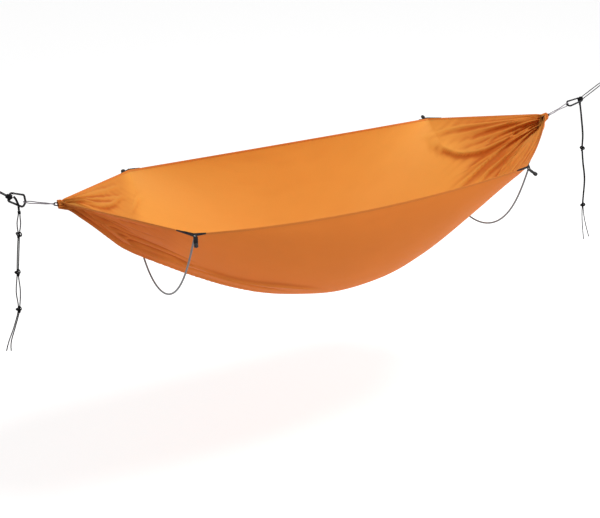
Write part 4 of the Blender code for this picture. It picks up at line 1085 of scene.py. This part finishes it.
def makeTab(row, side, pivot, out, up):
    sign, face, name = sides[side], rows[row], f"{row}_{side}"
    reach, down = np.linspace(-1, 1, 53), np.linspace(0, 1, 9)
    xs = sign * (bed["halfSpacing"] + reach * corner["leg"])
    depth = down[None, :] * between(*corner["height"], np.abs(reach))[:, None]
    points = clothSurface(xs, fromHem(row, depth / flatWidth(xs)[:, None]))[0]
    lip = points[:, 0] - points[:, 1]
    above = between(*corner["over"], np.abs(reach))  # the webbing stands a little above the hem
    points[:, 0] += lip * (above / np.linalg.norm(lip, axis=1))[:, None]
    outward = unitOf(np.cross(np.gradient(points, axis=0), np.gradient(points, axis=1)))
    outward *= np.sign(np.einsum("ijk,k->ij", outward, np.array([0, face, -0.3])))[..., None]
    legs = points + outward * corner["clear"]
    legUv = np.stack([np.tile((reach * corner["leg"])[:, None], (1, len(down))), depth], -1)
    half, tabReach, neck = corner["tongue"] / 2, bed["tabReach"], corner["neck"]
    steps = np.linspace(-1, 1, 13)
    reaches = np.concatenate([np.linspace(-tabReach, 0, 10), np.linspace(0, corner["nose"], 9)[1:]])
    topLine = readOff(steps * half * corner["root"], reach * corner["leg"], legs[:, 0])
    tongue = np.zeros((len(steps), len(reaches), 3))
    for j, far in enumerate(reaches):
        if far < 0:
            narrow = between(neck, corner["root"], (-far / tabReach) ** 2)
        else:
            narrow = neck * math.sqrt(1 - (far / (corner["nose"] * 1.06)) ** 2)
        rooted = 1 - float(smoothShare(far, -tabReach, -tabReach / 3))
        bow = corner["bow"] * math.sin(math.pi * min(1.0, (far + tabReach) / (2 * tabReach)))
        for i, across in enumerate(steps):
            level = pivot + out * far + up * bow + Vector((sign * half * narrow * across, 0, 0))
            hung = Vector(topLine[i]) + out * (far + tabReach)
            hung.x = level.x
            tongue[i, j] = level.lerp(hung, rooted)
    tongueUv = np.stack(np.meshgrid(steps * half, reaches, indexing="ij"), -1)
    seat = Matrix.Translation(pivot) @ facing(up)
    drills = [drillMesh(corner["barrel"] / 2 + corner["play"], 0.006, 32, seat)]
    thickness = corner["thickness"]
    tab = [workedMesh(sheetMesh(legs, legUv), thickness, bevel=0.00025, even=False),
           workedMesh(sheetMesh(tongue, tongueUv), thickness, cutters=drills, bevel=0.0002, even=False)]
    addPiece(f"{name}_webbing_tab", joinedMesh(tab, 35, toWorld), "webbing", f"{name}_tab")
    inner = slice(2, 51)  # the columns between the legs' outer seams
    lines = [(np.stack([readOff([edge], down, leg)[0] for leg in legs[inner]]), outward[inner, 4])
             for edge in corner["seams"]] + [(legs[i, 1:-1], outward[i, 1:-1]) for i in (2, 19, 33, 50)]
    seams = [(line + normals * thickness / 2 + np.array(middle), normals) for line, normals in lines]
    addStitching(f"{name}_tab_stitching", seams, corner, "grey thread")
    return seat


def makeCorner(row, side):
    sign, face, name = sides[side], rows[row], f"{row}_{side}"
    pivot = Vector((sign * bed["halfSpacing"], face * bed["halfTips"], 0))
    up = tipDirection(row)
    out = Vector((0, face * math.sin(tipSlope), -math.cos(tipSlope)))
    seat = makeTab(row, side, pivot, out, up)
    bore, barrel, flange = (corner[part] / 2 for part in ("bore", "barrel", "flange"))
    outer, inner = corner["eyelet"] / 2, corner["thickness"] / 2 + 0.00005
    upper = [(barrel, inner), (flange - 0.0005, inner), (flange, inner + 0.0001),
             (flange - 0.0008, outer * 0.85), (bore + 0.0008, outer), (bore, outer * 0.9)]
    lower = [(radius, -height) for radius, height in reversed(upper)]
    profile = roundedProfile(lower + upper, 0.0004, closed=True)
    ring = turnedMesh(profile, 40, toWorld @ seat, closed=True, sharpAngle=60)
    addPiece(f"{name}_grommet", ring, "bare metal", f"{name}_eyelet")
    turn, droop = math.radians(corner["turn"][name]) * face, math.radians(corner["droop"][name])
    heading = Matrix.Rotation(turn, 3, "Z") @ Vector((0, face, 0))
    along = heading * math.cos(droop) + Vector((0, 0, -math.sin(droop)))
    place = toWorld @ frameAt(pivot + out * (corner["nose"] + corner["gap"]), along, up)
    thickness = corner["strapThickness"]
    setback = (abs(math.sin(droop - math.pi / 2 + tipSlope)) * thickness / 2
               + abs(math.sin(turn)) * corner["tongue"] / 2 * corner["taper"] + corner["gap"])
    end = setback + corner["strapLength"][name]
    runs = np.linspace(setback - corner["strapInto"], end + corner["strapInto"], 34)
    across = np.linspace(-1, 1, 11) * corner["strapWidth"] / 2
    share = (runs - runs[0]) / (runs[-1] - runs[0])
    atToggle, atTab, low = corner["strapNarrows"]
    narrow = 1 - atToggle * smoothShare(share, low, 1.0) - atTab * smoothShare(1 - share, low, 1.0)
    wave, cup = corner["strapWaves"]
    strap = np.zeros((len(runs), len(across), 3))
    strap[..., 0] = runs[:, None]
    strap[..., 1] = across[None, :] * narrow[:, None]
    strap[..., 2] = (wave * np.sin(math.pi * share * 2)[:, None]
                     + cup * np.cos(across / across[-1] * math.pi)[None, :])
    uv = np.stack(np.meshgrid(runs, across, indexing="ij"), -1)
    band = workedMesh(sheetMesh(strap, uv), thickness, bevel=0.0003)
    band.transform(place)
    addPiece(f"{name}_webbing_strap", band, "webbing", f"{name}_pull_strap")
    sewn = strap[3:-4] + np.array([0, 0, thickness / 2])
    normals = [place.to_3x3() @ Vector((0, 0, 1))] * len(sewn)
    seams = [([place @ Vector(point) for point in sewn[:, i]], normals) for i in (1, 9)]
    addStitching(f"{name}_strap_stitching", seams, corner, "grey thread")
    shape = ((0, 0), (0.62, 0), (0.94, 0.10), (0.96, 0.22), (0.86, 0.26), (0.86, 0.31), (1, 0.35), (1, 0.49),
             (0.89, 0.53), (0.89, 0.58), (1, 0.61), (1, 0.76), (0.90, 0.92), (0.55, 1), (0, 1))
    radius, length = corner["toggle"]
    profile = roundedProfile([(radius * wide, length * high) for wide, high in shape], 0.0005)
    knob = turnedMesh(profile, 32, place @ Matrix.Translation((end + corner["gap"], 0, 0)) @ quarterTurn)
    addPiece(f"{name}_knob", knob, "plastic", f"{name}_toggle")


for side in sides:
    for row in rows:
        makeCorner(row, side)
print("corners made")


# The snap links, with their gates

def roundedPath(corners, fillet, start, end, stepAngle=5):
    # From start, round each corner, to end, with a circular fillet at each corner
    chain = [Vector(mark) for mark in (start, *corners, end)]
    points = chain[:1]
    for before, mark, after in zip(chain, chain[1:], chain[2:]):
        back, ahead = (before - mark).normalized(), (after - mark).normalized()
        half = back.angle(ahead) / 2
        cut = fillet / math.tan(half)
        centre = mark + (back + ahead).normalized() * fillet / math.sin(half)
        first, last = mark + back * cut - centre, mark + ahead * cut - centre
        sweep = first.angle(last)
        for share in np.linspace(0, 1, max(3, math.ceil(math.degrees(sweep) / stepAngle)) + 1):
            arm = (first * math.sin((1 - share) * sweep) + last * math.sin(share * sweep)) / math.sin(sweep)
            points.append(centre + arm)
    return points + chain[-1:]


def gateLine():
    low, high = (Vector((mark[0], 0, mark[1])) for mark in (link["corners"][0], link["corners"][4]))
    direction = (high - low).normalized()
    return direction, *(low + direction * ((link[end] - low.x) / direction.x) for end in ("nose", "pivot"))


def barRoute(end):
    return roundedPath([(x, 0, z) for x, z in link["corners"]], link["fillet"], gateLine()[1], end)


def wideBarOffset():
    # Where the rounded wide bar crosses the link's own X axis
    route = barRoute(gateLine()[2])
    return [a + (b - a) * (a.z / (a.z - b.z)) for a, b in zip(route, route[1:]) if a.z > 0 >= b.z][0].x


def makeLink(side):
    place = linkFrame(side)
    direction, nose, pivot = gateLine()
    hinge = frameAt(pivot, direction, (0, 1, 0))
    route = barRoute(pivot - direction * link["hinge"] / 2)
    bar = tubeMesh(smoothRoute(route, 0.0014), link["bar"], 28)
    size = (2 * link["hinge"], 2 * link["bar"], link["bar"])
    cheeks = [blockMesh(size, (0, 0, face * (link["tongue"] + link["bar"]) / 2), hinge) for face in (-1, 1)]
    pinHole = link["pin"] / 2 + link["play"], 0.008, 24
    bar = workedMesh(bar, cutters=cheeks + [drillMesh(*pinHole, hinge)], bevel=0.0003)
    bar.transform(place)
    addPiece(f"{side}_link_bar", bar, "link metal", f"{side}_carabiner_body")
    head, radius = link["gateBar"] / 2 - 0.0003, link["pin"] / 2
    profile = [(0, -head), (0.0009, -head), (radius, -head + 0.0003), (radius, head - 0.0003), (0.0009, head),
               (0, head)]
    addPiece(f"{side}_link_pin", turnedMesh(profile, 24, place @ hinge), "bare metal", f"{side}_gate_pin")
    length = (pivot - nose).length - link["gateGap"]
    gate = tubeMesh([(x, 0, 0) for x in np.linspace(-length, link["gateTail"], 40)], link["gateBar"], 28)
    slotLength = 4 * link["hinge"]
    slot = blockMesh((slotLength, 2 * link["gateBar"], link["tongue"] + 0.0006),
                     (slotLength / 2 - link["hinge"] - link["gateGap"], 0, 0))
    wellDepth, wellWidth = link["well"]
    wellEnd = -link["hinge"] - wellDepth
    well = tubeMesh([(x, 0, 0) for x in (wellEnd - 0.0003, wellEnd / 2, -link["hinge"])], wellWidth, 16)
    groove = [(head + out, face * half) for out, face, half in
              ((0.0002, -1, 0.0005), (0.0030, -1, 0.0012), (0.0030, 1, 0.0012), (0.0002, 1, 0.0005))]
    grooves = [turnedMesh(groove, 28, Matrix.Translation((x - length / 2, 0, 0)) @ quarterTurn, closed=True)
               for x in link["grooves"]]
    gate = workedMesh(gate, cutters=[slot, drillMesh(*pinHole, None), well] + grooves, bevel=0.00025)
    gate.transform(place @ hinge)
    addPiece(f"{side}_link_gate", gate, "link metal", f"{side}_gate", f"{side}_gate")
    return route


# Each winding of the hitch: from, to, turns, first angle, how far out, how far its ends are tucked in
windings = ((-0.0105, 0.0105, 4.6, 0.6, 0.0001, 0.0),
            (-0.0085, 0.0010, 2.1, 2.4, 0.0038, 0.0034), (-0.0005, 0.0090, 2.1, 3.4, 0.0038, 0.0034),
            (0.0050, -0.0045, 1.2, 5.4, 0.0061, 0.0046), (-0.0050, 0.0045, 1.2, 1.4, 0.0061, 0.0046))


def makeHitch(side, route):
    # Turns of the doubled rope round the narrow bar, with two riding turns across them
    step = 0.0005
    path = smoothRoute(route, step)
    narrowMiddle = (np.array(link["corners"][3]) + np.array(link["corners"][4])) / 2
    centre = int(np.hypot(path[:, 0] - narrowMiddle[0], path[:, 2] - narrowMiddle[1]).argmin())
    tangent = unitOf(np.gradient(path, axis=0))
    wound = []
    for low, high, turns, phase, raised, tuck in windings:
        radius = (link["bar"] + rope["diameter"]) / 2 + raised
        marks = []
        for t in np.linspace(0, 1, int(turns * 26) + 2):
            k = int(np.clip(round(centre + between(low, high, t) / step), 1, len(path) - 2))
            angle = phase + math.tau * turns * t
            outward = math.cos(angle) * np.array([tangent[k][2], 0, -tangent[k][0]])
            outward[1] = math.sin(angle)
            marks.append(path[k] + (radius - tuck * (abs(2 * t - 1) ** 6)) * outward)
        wound.append(ropeMesh(smoothRoute(marks, rope["step"]), sideCount=20))
    addPiece(f"{side}_hitch", joinedMesh(wound, place=linkFrame(side)), "rope", f"{side}_hitch_knot")


loop = {"cord": 0.0042, "relief": 0.0002, "step": 0.0009, "gap": 0.0003, "crossing": 0.0003, "play": 0.0011}
channel = {"eye": 0.021 - rope["diameter"] / 2, "bend": 0.0058, "turn": 0.0061, "depth": 0.018}


def makeEndLoop(side):
    # Two strands wound half a turn round each other, from the channel cord's bight to the wide bar
    near, nearRadius = channel["eye"], (rope["diameter"] + loop["cord"]) / 2 + loop["gap"]
    far = link["loopReach"][side] + wideBarOffset()
    farRadius = (link["bar"] + loop["cord"]) / 2 + loop["play"]
    twist = math.pi - sides[side] * math.radians(link["roll"][side])
    strand = []
    for t in np.linspace(0, 1, 16)[1:-1]:
        angle = math.pi + twist * t
        radius = between(nearRadius, farRadius, t)
        radius -= (radius - loop["cord"] / 2 - loop["crossing"]) * math.sin(math.pi * t) ** 2
        strand.append((between(near, far, t), radius * math.cos(angle), radius * math.sin(angle)))
    halfTurn = [(math.sin(a), math.cos(a)) for a in np.radians(np.linspace(0, 180, 9))]
    nearTurn = [(near - nearRadius * out, nearRadius * across, 0.0) for out, across in halfTurn]
    sideY, sideZ = farRadius * math.cos(math.pi + twist), farRadius * math.sin(math.pi + twist)
    farTurn = [(far + farRadius * out, across * sideY, across * sideZ) for out, across in halfTurn]
    back = [(x, -y, -z) for x, y, z in reversed(strand)]
    route = smoothRoute(nearTurn + strand + farTurn + back, loop["step"], closed=True)
    mesh = tubeMesh(route, loop["cord"], 20, True, loop["relief"], gatherFrame(side))
    addPiece(f"{side}_grey_loop", mesh, "grey cord", f"{side}_end_loop")


def bightPoints(centre, radius, first, last, count):
    # Part of a round in the XZ plane, its centre on X and its angles in degrees from X
    return [(centre + radius * math.cos(a), 0, radius * math.sin(a))
            for a in np.radians(np.linspace(first, last, count))]


def makeChannelCord(side):
    # A bight out of the gathered end, whose legs turn in the hollow of the pleats
    turn, bend = channel["turn"], channel["bend"]
    bight = bightPoints(channel["eye"] - bend, bend, -90, 90, 9)
    halfTurn = [(-channel["depth"], x, z) for x, _, z in bightPoints(0, turn, 90, -90, 7)]
    marks = bight + [(0.0, 0.0, turn)] + halfTurn + [(0.0, 0.0, -turn)]
    mesh = ropeMesh(smoothRoute(marks, rope["step"], closed=True), True, gatherFrame(side))
    addPiece(f"{side}_draw_cord", mesh, "rope", f"{side}_channel_cord")


anchor = {"out": ((0.002, 0, -0.0030), (0.016, 0, -0.0080), (0.034, 0, -0.0135)), "bend": (0.060, 0.015),
          "knot": (0.0056, 0.0034, rope["diameter"] * 0.8, 0.4)}  # size, depth, strands apart, turn


def makeAnchor(side):
    _, knotAt, line = ropeEnds(side)
    back = [(along, 0, -across) for along, _, across in reversed(anchor["out"])]
    marks = [*anchor["out"], *bightPoints(*anchor["bend"], -80, 80, 9), *back]
    bight = ropeMesh(smoothRoute(marks, rope["step"]))
    knot = knotForm(*anchor["knot"], Matrix.Identity(4))
    mesh = joinedMesh([bight, knot], place=frameAt(knotAt, (line.x, 0, line.z), (0, 0, 1)))
    addPiece(f"{side}_anchor_bight", mesh, "rope", f"{side}_anchor_loop", "anchors")


lead = {"diameter": 0.0070, "drop": 0.006, "clear": 0.0006,
        "route": ((0.0613, 0.0110), (0.0502, 0.0035), (0.0396, -0.0080), (0.0319, -0.0175),
                  (0.0256, -0.0327))}


def makeLead():
    # The left tail's first stretch, past the link's front and over its lower bar
    place = linkFrame("left")
    acrossLink = place.to_3x3() @ Vector((0, 1, 0))
    clear = (link["bar"] / 2 + lead["diameter"] / 2 + lead["clear"]) * (-1 if acrossLink.y > 0 else 1)
    marks = [place @ Vector((along, clear, across)) for along, across in lead["route"]]
    marks.append(marks[-1] - Vector((0, 0, lead["drop"])))
    route = smoothRoute(marks, rope["step"])
    aside = unitOf(np.cross(np.gradient(route, axis=0), np.array(acrossLink)))
    strands = [ropeMesh(route + aside * across * (rope["diameter"] / 2 + 0.0001)) for across in (-1, 1)]
    addPiece("left_lead", joinedMesh(strands), "rope", "left_tail_lead")


whipping = {"turns": 6, "top": 0.0056, "length": 0.0125, "cord": 0.0019, "relief": 0.0001, "step": 0.0009,
            "clear": (0.0009, 0.0008)}


def makeWhipping(side):
    # Thin cord bound round both strands where the tail begins
    clearWide, clearDeep = whipping["clear"]
    wide, deep = rope["diameter"] + clearWide, rope["diameter"] / 2 + clearDeep
    whole = math.tau * whipping["turns"]
    marks = [(wide * math.cos(a), deep * math.sin(a), whipping["top"] - whipping["length"] * a / whole)
             for a in np.linspace(0, whole, 200)]
    place = Matrix.Translation(jointAt[f"{side}_tail_swing"])
    route = smoothRoute(marks, whipping["step"])
    mesh = tubeMesh(route, whipping["cord"], 12, False, whipping["relief"], place)
    addPiece(f"{side}_tail_whipping", mesh, "rope", body=f"{side}_tail")


for side in sides:
    makeHitch(side, makeLink(side))
    makeEndLoop(side)
    makeChannelCord(side)
    makeAnchor(side)
    makeWhipping(side)
makeLead()
for side in sides:
    for name in [f"pole_ferrule_{i}" for i in range(1, pole["sections"])] + ["gate_plunger"]:
        bpy.data.objects[f"{side}_{name}"].material_slots[0].material = finishes["bare metal"][1]
print("links, loops and knots made")


# Floor, light and view

studio = {"floorDrop": 0.75, "floorReach": 60, "world": 0.50, "glow": 0.52}


def seenShare(tree, strength):
    # The given strength where the camera, a reflection or a clear surface looks straight at it, 0 elsewhere
    path = tree.nodes.new("ShaderNodeLightPath").outputs
    seen = mathNode(tree, "MAXIMUM", path["Is Camera Ray"],
                    mathNode(tree, "MAXIMUM", path["Is Glossy Ray"], path["Is Transmission Ray"]))
    return times(tree, seen, strength)


def makeStage():
    bm = bmesh.new()
    bmesh.ops.create_grid(bm, x_segments=1, y_segments=1, size=studio["floorReach"])
    bmesh.ops.translate(bm, vec=(middle.x, middle.y, cadBox[0].z - studio["floorDrop"]), verts=bm.verts[:])
    floor = addObject("floor", meshFrom(bm, recalc=False))
    material, tree, shader = startMaterial("pale floor", (0.82, 0.82, 0.82), 0.9)
    glow = addNode(tree, "ShaderNodeEmission", in_Strength=seenShare(tree, studio["glow"]))
    both = addNode(tree, "ShaderNodeAddShader", in_0=shader.outputs[0], in_1=glow.outputs[0])
    tree.links.new(both.outputs[0], tree.nodes["Material Output"].inputs["Surface"])
    floor.data.materials.append(material)


def makeWorld():
    world = bpy.data.worlds.new("studio")
    bpy.context.scene.world = world
    world.use_nodes = True
    tree = world.node_tree
    sky = tree.nodes["Background"].inputs
    sky["Color"].default_value = (1, 1, 1, 1)
    strength = mathNode(tree, "ADD", seenShare(tree, 1 - studio["world"]), studio["world"])
    tree.links.new(strength, sky["Strength"])


def addLamp(name, place, aim, size, power):
    lamp = addObject(name, bpy.data.lights.new(name, "AREA"))
    lamp.data.shape = "DISK"
    lamp.data.size = size
    lamp.data.energy = power
    lamp.location = middle + Vector(place)
    lamp.rotation_mode = "QUATERNION"
    lamp.rotation_quaternion = (Vector(aim) - Vector(place)).to_track_quat("-Z", "Y")


makeStage()
makeWorld()
addLamp("key", (1.6, -1.5, 4.2), (0, 0, -0.3), 2.0, 186)
addLamp("fill", (3.8, -2.8, 1.2), (0.4, 0, -0.3), 2.0, 46)
bpy.context.scene.view_settings.view_transform = "Standard"
print("stage and light set")
